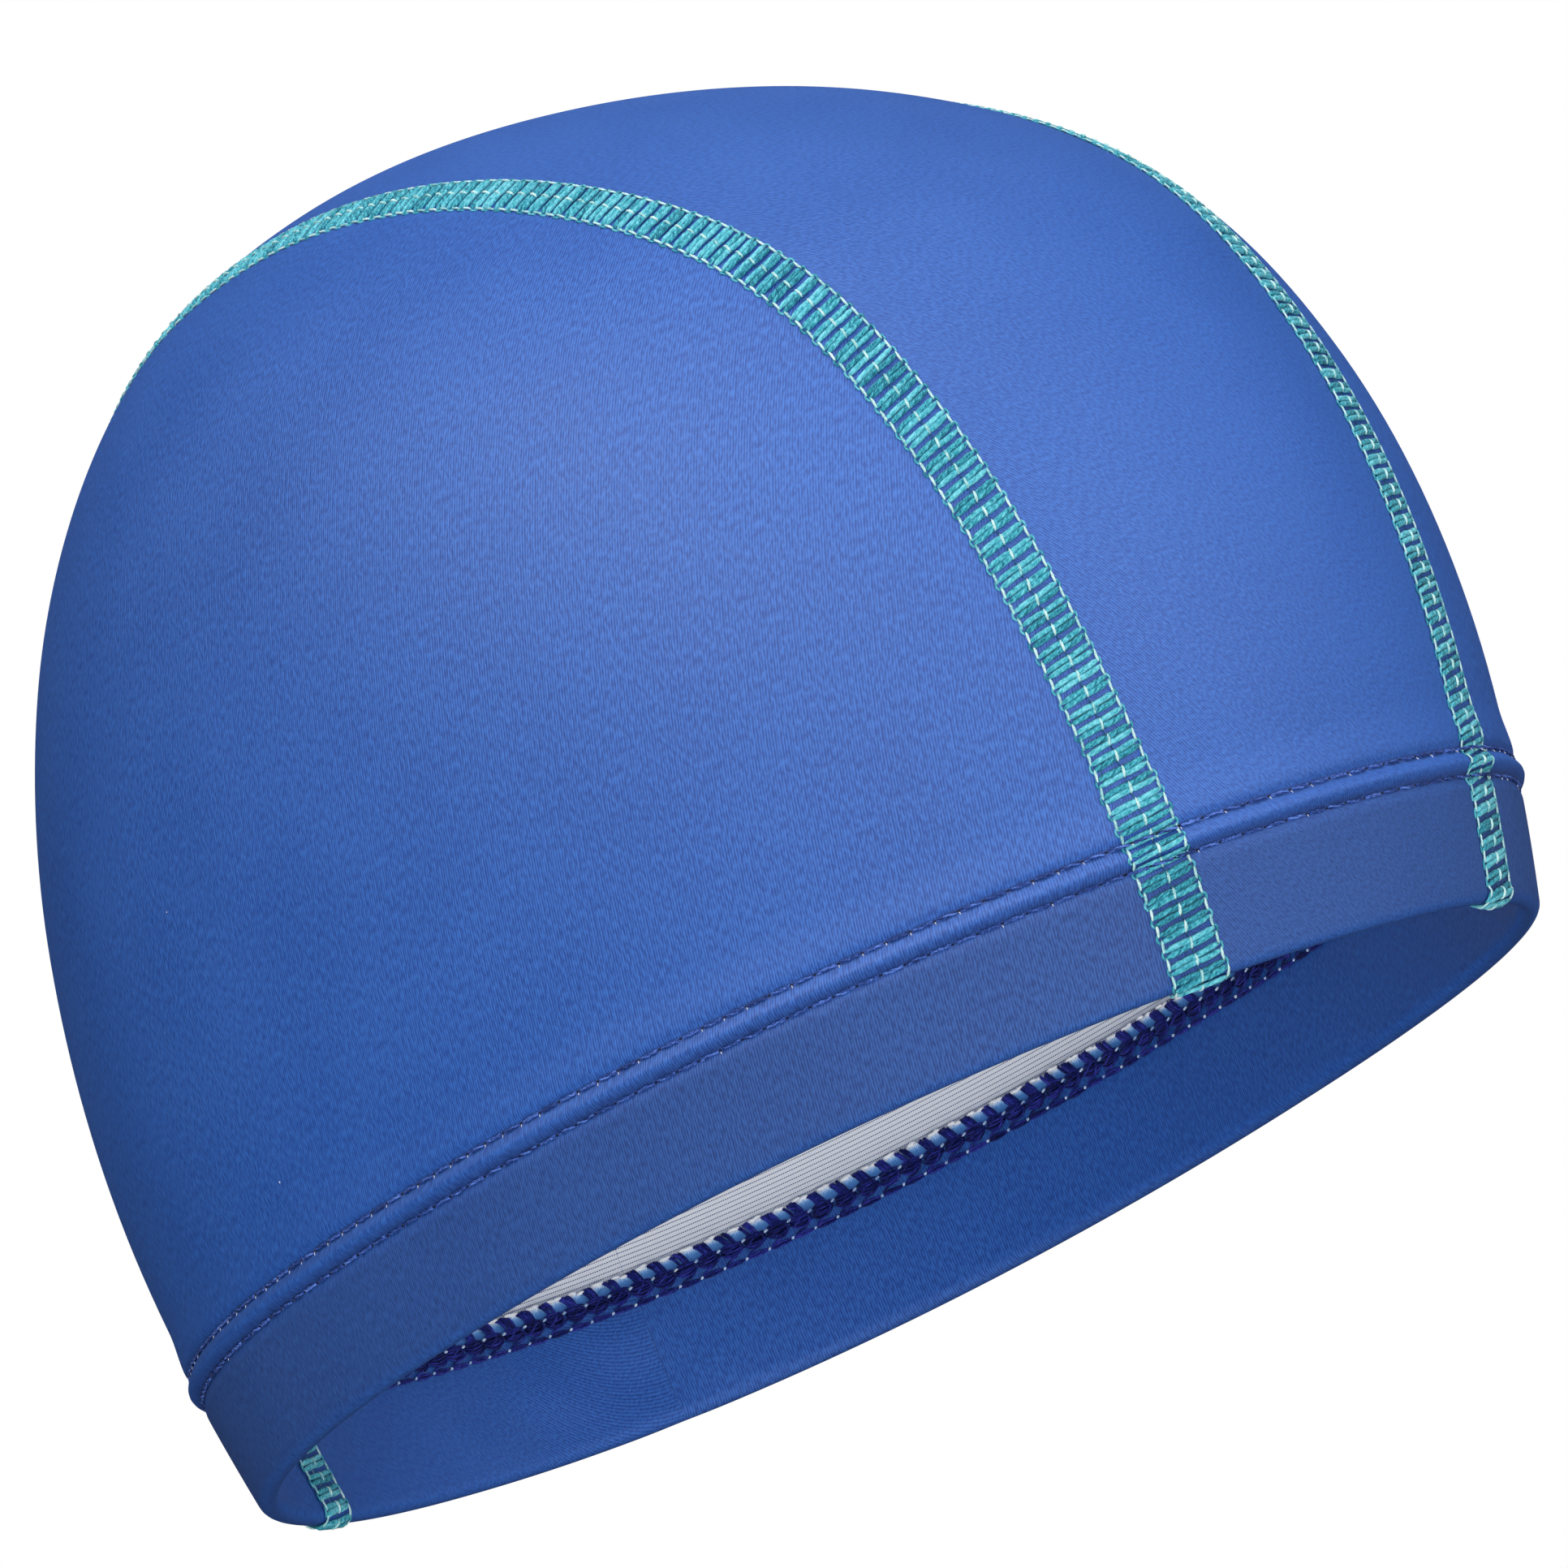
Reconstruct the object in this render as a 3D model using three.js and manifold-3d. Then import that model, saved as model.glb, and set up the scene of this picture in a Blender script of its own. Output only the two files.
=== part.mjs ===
// A three-panel pull-on swim cap, held in the shape that it takes on a head.
// Millimetres. The front of the cap faces -Y, the wearer's left is +X, and the crown is up.
// The origin is at the centre of the head opening, in the plane of the rim.
// Each panel is one U-folded solid: its outer wall, and the hem that is folded in behind it.

import * as THREE from 'three';
import Module from 'manifold-3d';

const wasm = await Module();
wasm.setup();
const { Manifold, Mesh } = wasm;

// The cloth and its hem
const WALL = 1.2;            // thickness of the coated knit
const LAYER_GAP = 0.4;       // space between the wall and the folded-in hem
const HEM_DEPTH = 20;        // from the fold up to the hem's raw edge
const HEM_SWELL = 0.6;       // how far the doubled cloth stands out
const HEM_SWELL_ENDS = 25;   // height above the fold where the swell has died away
const NEEDLE_ROWS = [15.1, 18.4];
const ROW_PINCH = 0.4;       // depth of the dip that a needle row draws in
const ROW_PINCH_REACH = 0.9;
const PANEL_GAP = 0.3;       // space between neighbouring panels, under the seam

// The dome. Each row is a level, at an angle above the rim, and the three reaches are those
// of the full ellipse through that level.
const CROWN_HEIGHT = 144;
const CROWN_SET_BACK = 10.8; // how far behind the rim's centre the crown's top lies
const RIM_SIDE_RISE = 1.7;   // the rim is a little higher at the ears
const SQUARENESS = 2.15;     // 2 is an ellipse, and a larger number has fuller corners
const EGG = 0.08;            // the back is wider than the front
const LEVEL_STEP = 15;
const LEVELS = [
  { angle: 0, front: 93.5, back: 93, side: 72 },
  { angle: 15, front: 106, back: 96.5, side: 80 },
  { angle: 30, front: 117, back: 97.5, side: 87.5 },
  { angle: 45, front: 126, back: 97.5, side: 95 },
  { angle: 60, front: 126, back: 99, side: 102 },
  { angle: 75, front: 121.5, back: 106, side: 110.5 },
  { angle: 90, front: 115, back: 115, side: 118.5 },
];

// The two seams, as half-widths of the centre panel. The angle goes from the front rim over
// the crown to the back rim.
const SEAM_STEP = 30;
const SEAMS = [
  { angle: -30, right: 21, left: 23.5 },
  { angle: 0, right: 25.2, left: 24.2 },
  { angle: 30, right: 31.4, left: 29 },
  { angle: 60, right: 33.2, left: 34 },
  { angle: 90, right: 33.8, left: 34.5 },
  { angle: 120, right: 34.5, left: 34.5 },
  { angle: 150, right: 33.5, left: 33.5 },
  { angle: 180, right: 30.5, left: 30.5 },
  { angle: 210, right: 27, left: 27 },
];

// The flat stitched band that covers each seam
const BAND_WIDTH = 6.8;
const BAND_THICK = 0.8;
const BAND_GAP = 0.3;
const BAND_INNER_END = 14.6; // height above the fold where it stops on the hem's inner face

// The looped stitching over the hem's raw edge, inside
const LOOPER_LOW = 15.4;
const LOOPER_HIGH = 21.8;
const LOOPER_THICK = 0.8;
const LOOPER_GAP = 0.3;

const MERIDIANS = 60;
const CROWN_ROWS = 12;
const RIGHT_ANGLE = Math.PI / 2;
const HEM_THICK = 2 * WALL + LAYER_GAP;
const FOLD_RADIUS = HEM_THICK / 2;

function radians(degrees) {
  return (degrees * Math.PI) / 180;
}

// A smooth curve through one column of a table whose rows are evenly spaced.
function column(rows, key, step, angle) {
  const place = Math.min(Math.max((angle - rows[0].angle) / step, 0), rows.length - 1 - 1e-9);
  const index = Math.floor(place);
  const t = place - index;
  const b = rows[index][key];
  const c = rows[index + 1][key];
  const a = index > 0 ? rows[index - 1][key] : 2 * b - c;
  const d = index + 2 < rows.length ? rows[index + 2][key] : 2 * c - b;
  const cubic = 3 * (b - c) + d - a;
  return b + 0.5 * t * (c - a + t * (2 * a - 5 * b + 4 * c - d + t * cubic));
}

function rounded(value) {
  return Math.sign(value) * Math.pow(Math.abs(value), 2 / SQUARENESS);
}

// A point of the dome. The lift is its angle above the rim, and the turn is its angle from
// the front towards the wearer's left.
function dome(lift, turn) {
  const level = THREE.MathUtils.radToDeg(lift);
  const narrow = Math.cos(lift);
  const front = column(LEVELS, 'front', LEVEL_STEP, level) * narrow;
  const back = column(LEVELS, 'back', LEVEL_STEP, level) * narrow;
  const side = column(LEVELS, 'side', LEVEL_STEP, level) * narrow;
  const middle = (back - front) / 2 + CROWN_SET_BACK * Math.sin(lift) ** 2;
  const x = side * rounded(Math.sin(turn)) * (1 - EGG * Math.cos(turn) * narrow);
  const y = middle - ((front + back) / 2) * rounded(Math.cos(turn));
  const rise = RIM_SIDE_RISE * narrow ** 3 * (1 - Math.cos(2 * turn)) / 2;
  return new THREE.Vector3(x, y, CROWN_HEIGHT * Math.sin(lift) + rise);
}

function outward(lift, turn) {
  const step = 0.004;
  const low = Math.min(lift, RIGHT_ANGLE - 0.02);
  const around = dome(low, turn + step).sub(dome(low, turn - step));
  const up = dome(low + step, turn).sub(dome(low - step, turn));
  return around.cross(up).normalize();
}

// How far up the cloth each lift of one meridian is, measured from the rim.
function climb(turn) {
  const steps = 150;
  const heights = [0];
  let last = dome(0, turn);
  for (let i = 1; i <= steps; i += 1) {
    const next = dome((RIGHT_ANGLE * i) / steps, turn);
    heights.push(heights[i - 1] + next.distanceTo(last));
    last = next;
  }
  return heights;
}

function liftAt(heights, height) {
  const steps = heights.length - 1;
  let i = 0;
  while (i < steps - 1 && heights[i + 1] < height) {
    i += 1;
  }
  const part = (height - heights[i]) / (heights[i + 1] - heights[i]);
  return (RIGHT_ANGLE * (i + part)) / steps;
}

function heightAt(turn, lift) {
  const heights = climb(turn);
  const place = Math.min((lift / RIGHT_ANGLE) * (heights.length - 1), heights.length - 1.001);
  const i = Math.floor(place);
  return heights[i] + (place - i) * (heights[i + 1] - heights[i]);
}

// How far the outer face stands out at a height above the fold.
function relief(height) {
  const fade = THREE.MathUtils.smoothstep(height, HEM_DEPTH - 1, HEM_SWELL_ENDS);
  let out = HEM_SWELL * (1 - fade);
  for (const row of NEEDLE_ROWS) {
    out -= ROW_PINCH * Math.exp(-(((height - row) / ROW_PINCH_REACH) ** 2));
  }
  return out;
}

// A point at a depth behind the cloth's outer face. A height below zero goes on past the rim.
function layAt(turn, lift, height, depth) {
  const face = dome(lift, turn);
  const out = outward(lift, turn);
  if (height < 0) {
    const down = dome(0, turn).sub(dome(0.01, turn)).normalize();
    face.addScaledVector(down, -height);
  }
  return face.addScaledVector(out, relief(Math.max(height, 0)) - depth);
}

// A closed solid from points and triangles, with its faces turned outward.
function closedSolid(points, triangles) {
  let volume = 0;
  for (const [a, b, c] of triangles) {
    volume += points[a].dot(points[b].clone().cross(points[c])) / 6;
  }
  const faces = volume > 0 ? triangles : triangles.map(([a, b, c]) => [a, c, b]);
  const made = new Mesh({
    numProp: 3,
    vertProperties: new Float32Array(points.flatMap((p) => [p.x, p.y, p.z])),
    triVerts: new Uint32Array(faces.flat()),
  });
  return new Manifold(made);
}

// The closed skin between rings of points: each ring is joined to the next one.
function ringFaces(rings, size, ringsClose) {
  const faces = [];
  const last = ringsClose ? rings : rings - 1;
  for (let r = 0; r < last; r += 1) {
    for (let i = 0; i < size; i += 1) {
      const a = r * size + i;
      const b = r * size + ((i + 1) % size);
      const c = ((r + 1) % rings) * size + i;
      const d = ((r + 1) % rings) * size + ((i + 1) % size);
      faces.push([a, b, d], [a, d, c]);
    }
  }
  return faces;
}

// The section of the cloth, from the crown's top down the outer face, round the fold, up the
// hem to its raw edge, down behind the hem, and up the inner face to the crown's top.
function clothSection() {
  const section = [];
  for (let i = 1; i < CROWN_ROWS; i += 1) {
    section.push({ share: 1 - i / CROWN_ROWS, depth: 0 });
  }
  for (const height of [HEM_SWELL_ENDS, 22.5, 20.4, 18.4, 16.75, 15.1, 13.2, 9, 5]) {
    section.push({ height, depth: 0 });
  }
  for (let i = 0; i <= 6; i += 1) {
    const bend = (Math.PI * i) / 6;
    section.push({
      height: FOLD_RADIUS * (1 - Math.sin(bend)),
      depth: FOLD_RADIUS * (1 - Math.cos(bend)),
    });
  }
  const halfHem = HEM_DEPTH / 2;
  for (const height of [halfHem, HEM_DEPTH]) {
    section.push({ height, depth: HEM_THICK });
  }
  for (const height of [HEM_DEPTH, halfHem, FOLD_RADIUS]) {
    section.push({ height, depth: WALL + LAYER_GAP });
  }
  for (const height of [FOLD_RADIUS, halfHem, HEM_DEPTH, HEM_SWELL_ENDS]) {
    section.push({ height, depth: WALL });
  }
  for (let i = CROWN_ROWS - 1; i > 0; i -= 1) {
    section.push({ share: 1 - i / CROWN_ROWS, depth: WALL });
  }
  return section;
}

function wholeShell() {
  const section = clothSection();
  const points = [];
  for (let m = 0; m < MERIDIANS; m += 1) {
    const turn = (2 * Math.PI * m) / MERIDIANS;
    const heights = climb(turn);
    const hemTop = liftAt(heights, HEM_SWELL_ENDS + 1);
    for (const place of section) {
      if (place.share === undefined) {
        const lift = liftAt(heights, Math.max(place.height, 0));
        points.push(layAt(turn, lift, place.height, place.depth));
      } else {
        const lift = hemTop + (RIGHT_ANGLE - hemTop) * place.share;
        points.push(layAt(turn, lift, 100, place.depth));
      }
    }
  }
  const size = section.length;
  const outerTop = points.length;
  points.push(dome(RIGHT_ANGLE, 0));
  const innerTop = points.length;
  points.push(dome(RIGHT_ANGLE, 0).add(new THREE.Vector3(0, 0, -WALL)));
  const faces = [];
  for (let m = 0; m < MERIDIANS; m += 1) {
    const here = m * size;
    const next = ((m + 1) % MERIDIANS) * size;
    for (let i = 0; i < size - 1; i += 1) {
      faces.push([here + i, here + i + 1, next + i + 1], [here + i, next + i + 1, next + i]);
    }
    faces.push([outerTop, here, next]);
    faces.push([here + size - 1, innerTop, next + size - 1]);
  }
  return closedSolid(points, faces);
}

function seamHalfWidth(side, angle) {
  return column(SEAMS, side, SEAM_STEP, angle);
}

// A fan-shaped block that holds the centre panel, wider or narrower by an amount.
function centreFan(extra) {
  const points = [];
  const stations = 56;
  for (let i = 0; i <= stations; i += 1) {
    const angle = -14 + (208 * i) / stations;
    const right = -seamHalfWidth('right', angle) - extra;
    const left = seamHalfWidth('left', angle) + extra;
    const ahead = -Math.cos(radians(angle));
    const above = Math.sin(radians(angle));
    for (const [x, reach] of [[right, 30], [left, 30], [left, 190], [right, 190]]) {
      points.push(new THREE.Vector3(x, ahead * reach, above * reach));
    }
  }
  const faces = ringFaces(stations + 1, 4, false);
  const end = stations * 4;
  faces.push([0, 2, 1], [0, 3, 2], [end, end + 1, end + 2], [end, end + 2, end + 3]);
  return closedSolid(points, faces);
}

// The lift and turn of the point of the dome that lies at a seam angle and a given x.
function onDome(angle, x, start) {
  const ahead = Math.cos(radians(angle));
  const above = Math.sin(radians(angle));
  const miss = (lift, turn) => {
    const p = dome(lift, turn);
    return [p.x - x, p.y * above + p.z * ahead];
  };
  let { lift, turn } = start;
  for (let i = 0; i < 12; i += 1) {
    const step = 1e-4;
    const [u, v] = miss(lift, turn);
    const [uLift, vLift] = miss(lift + step, turn).map((n, k) => (n - [u, v][k]) / step);
    const [uTurn, vTurn] = miss(lift, turn + step).map((n, k) => (n - [u, v][k]) / step);
    const whole = uLift * vTurn - uTurn * vLift;
    lift -= THREE.MathUtils.clamp((u * vTurn - v * uTurn) / whole, -0.15, 0.15);
    turn -= THREE.MathUtils.clamp((v * uLift - u * vLift) / whole, -0.15, 0.15);
    lift = Math.min(lift, RIGHT_ANGLE - 0.02);
  }
  return { lift, turn };
}

// The turn of the rim's point at a given x, near a starting turn.
function onRim(x, start) {
  let turn = start;
  for (let i = 0; i < 20; i += 1) {
    const slope = (dome(0, turn + 1e-4).x - dome(0, turn).x) / 1e-4;
    turn -= THREE.MathUtils.clamp((dome(0, turn).x - x) / slope, -0.1, 0.1);
  }
  return turn;
}

// One seam's band: over the outer face from rim to rim, round each fold and up the hem.
// A foldless end stops just short of the rim.
function seamBand(side, wrapsAtBack) {
  const sign = side === 'left' ? 1 : -1;
  const stations = [];
  const firstAngle = 1.2;
  const lastAngle = 178.6;
  const steps = 60;
  for (let i = 0; i <= steps; i += 1) {
    stations.push({ kind: 'outer', angle: firstAngle + ((lastAngle - firstAngle) * i) / steps });
  }
  const hemEnd = [];
  for (const bend of [15, 60, 90, 120, 165]) {
    hemEnd.push({ kind: 'fold', bend });
  }
  for (const height of [2.5, 8.5, BAND_INNER_END]) {
    hemEnd.push({ kind: 'inner', height });
  }
  const frontEnd = hemEnd.map((s) => ({ ...s, end: 0 })).reverse();
  const backEnd = wrapsAtBack ? hemEnd.map((s) => ({ ...s, end: 180 })) : [];
  const path = [...frontEnd, ...stations, ...backEnd];
  const rows = [];
  for (const across of [-1, 0, 1]) {
    let guess = { lift: 0.05, turn: sign * 0.33 };
    const row = path.map((station) => {
      const angle = station.kind === 'outer' ? station.angle : station.end;
      const middle = sign * seamHalfWidth(side, angle);
      if (station.kind === 'outer') {
        const here = onDome(angle, middle, guess);
        const tilt = outward(here.lift, here.turn).x;
        const x = middle + (across * BAND_WIDTH * Math.sqrt(1 - tilt * tilt)) / 2;
        guess = onDome(angle, x, here);
        return { ...guess, ...station, height: heightAt(guess.turn, guess.lift) };
      }
      const start = station.end === 0 ? sign * 0.33 : Math.PI - sign * 0.42;
      const turn = onRim(middle + (across * BAND_WIDTH) / 2, start);
      if (station.kind === 'fold') {
        return { ...station, turn, lift: 0 };
      }
      return { ...station, turn, lift: liftAt(climb(turn), station.height) };
    });
    rows.push(row);
  }
  const pointAt = (station, above) => {
    if (station.kind === 'outer') {
      return layAt(station.turn, station.lift, station.height, -above);
    }
    if (station.kind === 'inner') {
      return layAt(station.turn, station.lift, station.height, HEM_THICK + above);
    }
    const bend = radians(station.bend);
    const reach = FOLD_RADIUS + above;
    const height = FOLD_RADIUS - reach * Math.sin(bend);
    const depth = FOLD_RADIUS - reach * Math.cos(bend);
    return layAt(station.turn, station.lift, Math.min(height, -1e-6), depth);
  };
  const points = [];
  const low = BAND_GAP;
  const high = BAND_GAP + BAND_THICK;
  for (let i = 0; i < path.length; i += 1) {
    const ring = [[0, low], [1, low], [2, low], [2, high - 0.3], [1, high], [0, high - 0.3]];
    for (const [row, above] of ring) {
      points.push(pointAt(rows[row][i], above));
    }
  }
  const size = 6;
  const faces = ringFaces(path.length, size, false);
  const end = (path.length - 1) * size;
  for (let i = 1; i < size - 1; i += 1) {
    faces.push([0, i + 1, i], [end, end + i, end + i + 1]);
  }
  return closedSolid(points, faces);
}

// The looper stitching: a thin ring that lies on the hem's inner face and leans over its
// raw edge onto the wall.
function looperRing() {
  const near = HEM_THICK + LOOPER_GAP;
  const far = near + LOOPER_THICK;
  const lean = LOOPER_HIGH - HEM_DEPTH - 0.3;
  const section = [
    [LOOPER_LOW, near],
    [HEM_DEPTH + 0.3, near],
    [LOOPER_HIGH, near - lean],
    [LOOPER_HIGH, far - lean],
    [HEM_DEPTH + 0.3, far],
    [LOOPER_LOW, far],
  ];
  const points = [];
  for (let m = 0; m < MERIDIANS; m += 1) {
    const turn = (2 * Math.PI * m) / MERIDIANS;
    const heights = climb(turn);
    for (const [height, depth] of section) {
      points.push(layAt(turn, liftAt(heights, height), height, depth + relief(height)));
    }
  }
  return closedSolid(points, ringFaces(MERIDIANS, section.length, true));
}

function shown(name, solid, colour, roughness) {
  const mesh = solid.getMesh();
  const geometry = new THREE.BufferGeometry();
  geometry.setAttribute('position', new THREE.BufferAttribute(mesh.vertProperties, 3));
  geometry.setIndex(new THREE.BufferAttribute(mesh.triVerts, 1));
  geometry.computeVertexNormals();
  const material = new THREE.MeshStandardMaterial({ color: colour, roughness });
  material.name = name;
  const part = new THREE.Mesh(geometry, material);
  part.name = name;
  return part;
}

const shell = wholeShell();
const centre = shell.intersect(centreFan(-PANEL_GAP / 2));
const sides = shell.subtract(centreFan(PANEL_GAP / 2));
const leftSide = sides.trimByPlane([1, 0, 0], 0);
const rightSide = sides.trimByPlane([-1, 0, 0], 0);

const group = new THREE.Group();
group.name = 'swim_cap';
group.add(shown('centre_panel', centre, 0x2f57a8, 0.55));
group.add(shown('right_panel', rightSide, 0x2b519f, 0.55));
group.add(shown('left_panel', leftSide, 0x2b519f, 0.55));
group.add(shown('right_flatlock_seam', seamBand('right', true), 0x3cb6c4, 0.8));
group.add(shown('left_flatlock_seam', seamBand('left', false), 0x3cb6c4, 0.8));
group.add(shown('hem_looper_stitching', looperRing(), 0x1b1f80, 0.8));

export default group;
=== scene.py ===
import math

import bpy
import numpy as np
from mathutils import Matrix, Vector


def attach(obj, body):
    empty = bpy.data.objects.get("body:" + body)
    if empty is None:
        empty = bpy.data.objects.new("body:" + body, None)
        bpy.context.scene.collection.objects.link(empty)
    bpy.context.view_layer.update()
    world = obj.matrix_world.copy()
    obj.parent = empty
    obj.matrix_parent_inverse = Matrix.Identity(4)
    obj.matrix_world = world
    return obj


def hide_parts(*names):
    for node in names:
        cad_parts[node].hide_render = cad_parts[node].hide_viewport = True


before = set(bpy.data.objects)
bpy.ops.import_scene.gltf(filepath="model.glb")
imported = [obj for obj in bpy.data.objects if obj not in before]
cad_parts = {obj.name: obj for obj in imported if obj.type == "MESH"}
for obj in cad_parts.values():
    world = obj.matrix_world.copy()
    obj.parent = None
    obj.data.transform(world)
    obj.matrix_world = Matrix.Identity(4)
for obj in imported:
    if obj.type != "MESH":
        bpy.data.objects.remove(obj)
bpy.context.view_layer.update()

# The view. The cap is seen from low in front of its right side, with the camera rolled so
# that the rim runs up to the right. A long lens from well back keeps the outline calm.
VIEW_TURN = math.radians(-43.0)
VIEW_RISE = math.radians(-8.22)
VIEW_ROLL = math.radians(23.463)
VIEW_DISTANCE = 2.5
FRAME_WIDTH = 0.1894
FRAME_RIGHT = 0.0062         # where the frame's centre lies from the middle of the rim
FRAME_UP = 0.0545
SENSOR = 36.0

towards_camera = Vector((
    math.sin(VIEW_TURN) * math.cos(VIEW_RISE),
    -math.cos(VIEW_TURN) * math.cos(VIEW_RISE),
    math.sin(VIEW_RISE),
))
level_right = Vector((math.cos(VIEW_TURN), math.sin(VIEW_TURN), 0))
level_up = towards_camera.cross(level_right)
frame_up = level_right * math.sin(VIEW_ROLL) + level_up * math.cos(VIEW_ROLL)

camera_place = towards_camera * VIEW_DISTANCE
view_back = (camera_place - level_right * FRAME_RIGHT - level_up * FRAME_UP).normalized()
view_right = frame_up.cross(view_back).normalized()
view_up = view_back.cross(view_right)

camera_data = bpy.data.cameras.new("camera")
camera_data.sensor_width = SENSOR
camera_data.lens = SENSOR * VIEW_DISTANCE / FRAME_WIDTH
camera_data.clip_end = 200
camera = bpy.data.objects.new("camera", camera_data)
camera.matrix_world = Matrix.Translation(camera_place) @ Matrix(
    (view_right, view_up, view_back)).transposed().to_4x4()
bpy.context.scene.collection.objects.link(camera)
bpy.context.scene.camera = camera
bpy.context.scene.view_settings.view_transform = "Standard"


# The studio. A plain pale floor lies well below the cap, the room is white, and large soft
# lamps stand at the camera, above, beside, low in front of and behind the cap. They face
# the cap, so the floor has a glow of its own to look pale, and casts none of it upwards.
FLOOR_DROP = 2.6
FLOOR_GLOW = 0.7
FLOOR_SIZE = 160.0
ROOM_SEEN = 1.0              # how white the room looks
ROOM_LIGHT = 0.06            # how much of that reaches the cap
LAMP_SIZE = 1.2
SOFT_LAMPS = {               # right, up and towards the camera, then the power
    "front": ((0.0, 0.05, 1.6), 22.5),
    "top": ((0.0, 1.65, 0.16), 21.5),
    "top_left": ((-1.27, 1.0, 0.16), 9.5),
    "right": ((1.57, 0.05, 0.31), 7.5),
    "low": ((-0.97, -0.92, 0.81), 1.9),
    "below": ((0.15, -1.3, 0.75), 7.5),
    "back": ((0.0, 0.9, -1.3), 3.0),
}
SHEEN_LAMPS = {              # these are seen only in the coating's soft gloss
    "left_sheen": ((-0.97, 0.87, 0.97), 23.0),
    "right_sheen": ((0.97, 0.87, 0.97), 17.0),
    "crown_sheen": ((0.0, 1.65, 0.16), 10.0),
    "edge_sheen": ((1.27, 1.0, 0.16), 5.0),
    "low_sheen": ((0.97, -0.92, 0.81), 3.0),
    "front_sheen": ((0.0, 0.05, 1.6), 5.0),
}

world = bpy.data.worlds.new("room")
world.use_nodes = True
room = world.node_tree
sky = room.nodes["Background"]
path = room.nodes.new("ShaderNodeLightPath")
strength = room.nodes.new("ShaderNodeMapRange")
strength.inputs["To Min"].default_value = ROOM_LIGHT
strength.inputs["To Max"].default_value = ROOM_SEEN
room.links.new(path.outputs["Is Camera Ray"], strength.inputs["Value"])
room.links.new(strength.outputs["Result"], sky.inputs["Strength"])
sky.inputs["Color"].default_value = (1, 1, 1, 1)
bpy.context.scene.world = world

for lamps in (SOFT_LAMPS, SHEEN_LAMPS):
    for name, (place, power) in lamps.items():
        lamp_data = bpy.data.lights.new(name + "_lamp", "AREA")
        lamp_data.shape = "DISK"
        lamp_data.size = LAMP_SIZE
        lamp_data.energy = power
        lamp = bpy.data.objects.new(name + "_lamp", lamp_data)
        lamp.visible_glossy = lamps is SHEEN_LAMPS
        lamp.visible_diffuse = lamps is SOFT_LAMPS
        stand = view_right * place[0] + view_up * place[1] + view_back * place[2]
        aim = stand.to_track_quat("Z", "Y").to_matrix().to_4x4()
        lamp.matrix_world = Matrix.Translation(stand) @ aim
        bpy.context.scene.collection.objects.link(lamp)

floor_mesh = bpy.data.meshes.new("floor")
half = FLOOR_SIZE / 2
corners = [(-half, -half), (half, -half), (half, half), (-half, half)]
floor_mesh.from_pydata([(x, y, -FLOOR_DROP) for x, y in corners], [], [(0, 1, 2, 3)])
floor = bpy.data.objects.new("floor", floor_mesh)
floor_paint = bpy.data.materials.new("floor_paint")
floor_paint.use_nodes = True
floor_shader = floor_paint.node_tree.nodes["Principled BSDF"]
floor_shader.inputs["Base Color"].default_value = (0.86, 0.86, 0.86, 1)
floor_shader.inputs["Roughness"].default_value = 0.9
floor_shader.inputs["Emission Color"].default_value = (1, 1, 1, 1)
floor_shader.inputs["Emission Strength"].default_value = FLOOR_GLOW
floor_mesh.materials.append(floor_paint)
floor.visible_diffuse = False
floor.visible_glossy = False
bpy.context.scene.collection.objects.link(floor)


# The side panels. Each is a piece of coated knit, blue outside and white with fine navy
# pinstripes inside, stretched over the dome of the head. Along the rim it is folded up
# inside as a hem, which two needle rows hold down. Sizes here are in millimetres.
WALL = 1.2
LAYER_GAP = 0.4
HEM_DEPTH = 20.0
HEM_SWELL = 0.6              # how far the doubled cloth stands out
HEM_SWELL_ENDS = 25.0
NEEDLE_ROWS = (15.1, 18.4)
ROW_PINCH = 0.5
ROW_PINCH_REACH = 0.75
RIDGE = 0.75                 # how far the cloth puffs out between the rows
RIDGE_REACH = 1.1
WRINKLES = 0.30              # how far the slack inner layer of the hem stands off
INNER_PINCH = 0.25
PANEL_GAP = 0.04
SEAM_DIP = 0.25
SEAM_DIP_REACH = 3.0
HEM_THICK = 2 * WALL + LAYER_GAP
FOLD_RADIUS = HEM_THICK / 2

CROWN_HEIGHT = 144.0
CROWN_SET_BACK = 10.8
RIM_SIDE_RISE = 1.7
SQUARENESS = 2.15
EGG = 0.08
LEVEL_STEP = 15.0            # between the levels of the reaches, in degrees above the rim
REACH = {
    "front": (93.5, 106, 117, 126, 126, 121.5, 115),
    "back": (93, 96.5, 97.5, 97.5, 99, 106, 115),
    "side": (72, 80, 87.5, 95, 102, 110.5, 118.5),
}
SEAM_FIRST = -30.0           # angles from the front rim over the crown to the back rim
SEAM_STEP = 30.0
SEAM_HALF_WIDTH = {
    "right": (21, 25.2, 31.4, 33.2, 33.8, 34.5, 33.5, 30.5, 27),
    "left": (23.5, 24.2, 29, 34, 34.5, 34.5, 33.5, 30.5, 27),
}
SIDES = {"right": -1, "left": 1}

SIDE_COLUMNS = 240
SIDE_CROWN_ROWS = 92


def smooth_table(values, first, step, angle):
    """The smooth curve through evenly spaced values, as the cap's tables are read."""
    values = np.asarray(values, float)
    ends = (2 * values[0] - values[1], 2 * values[-1] - values[-2])
    padded = np.concatenate([ends[:1], values, ends[1:]])
    place = np.clip((angle - first) / step, 0, len(values) - 1 - 1e-9)
    index = np.floor(place).astype(int)
    t = place - index
    a, b, c, d = (padded[index + k] for k in range(4))
    return b + 0.5 * t * (c - a + t * (2 * a - 5 * b + 4 * c - d + t * (3 * (b - c) + d - a)))


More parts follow.
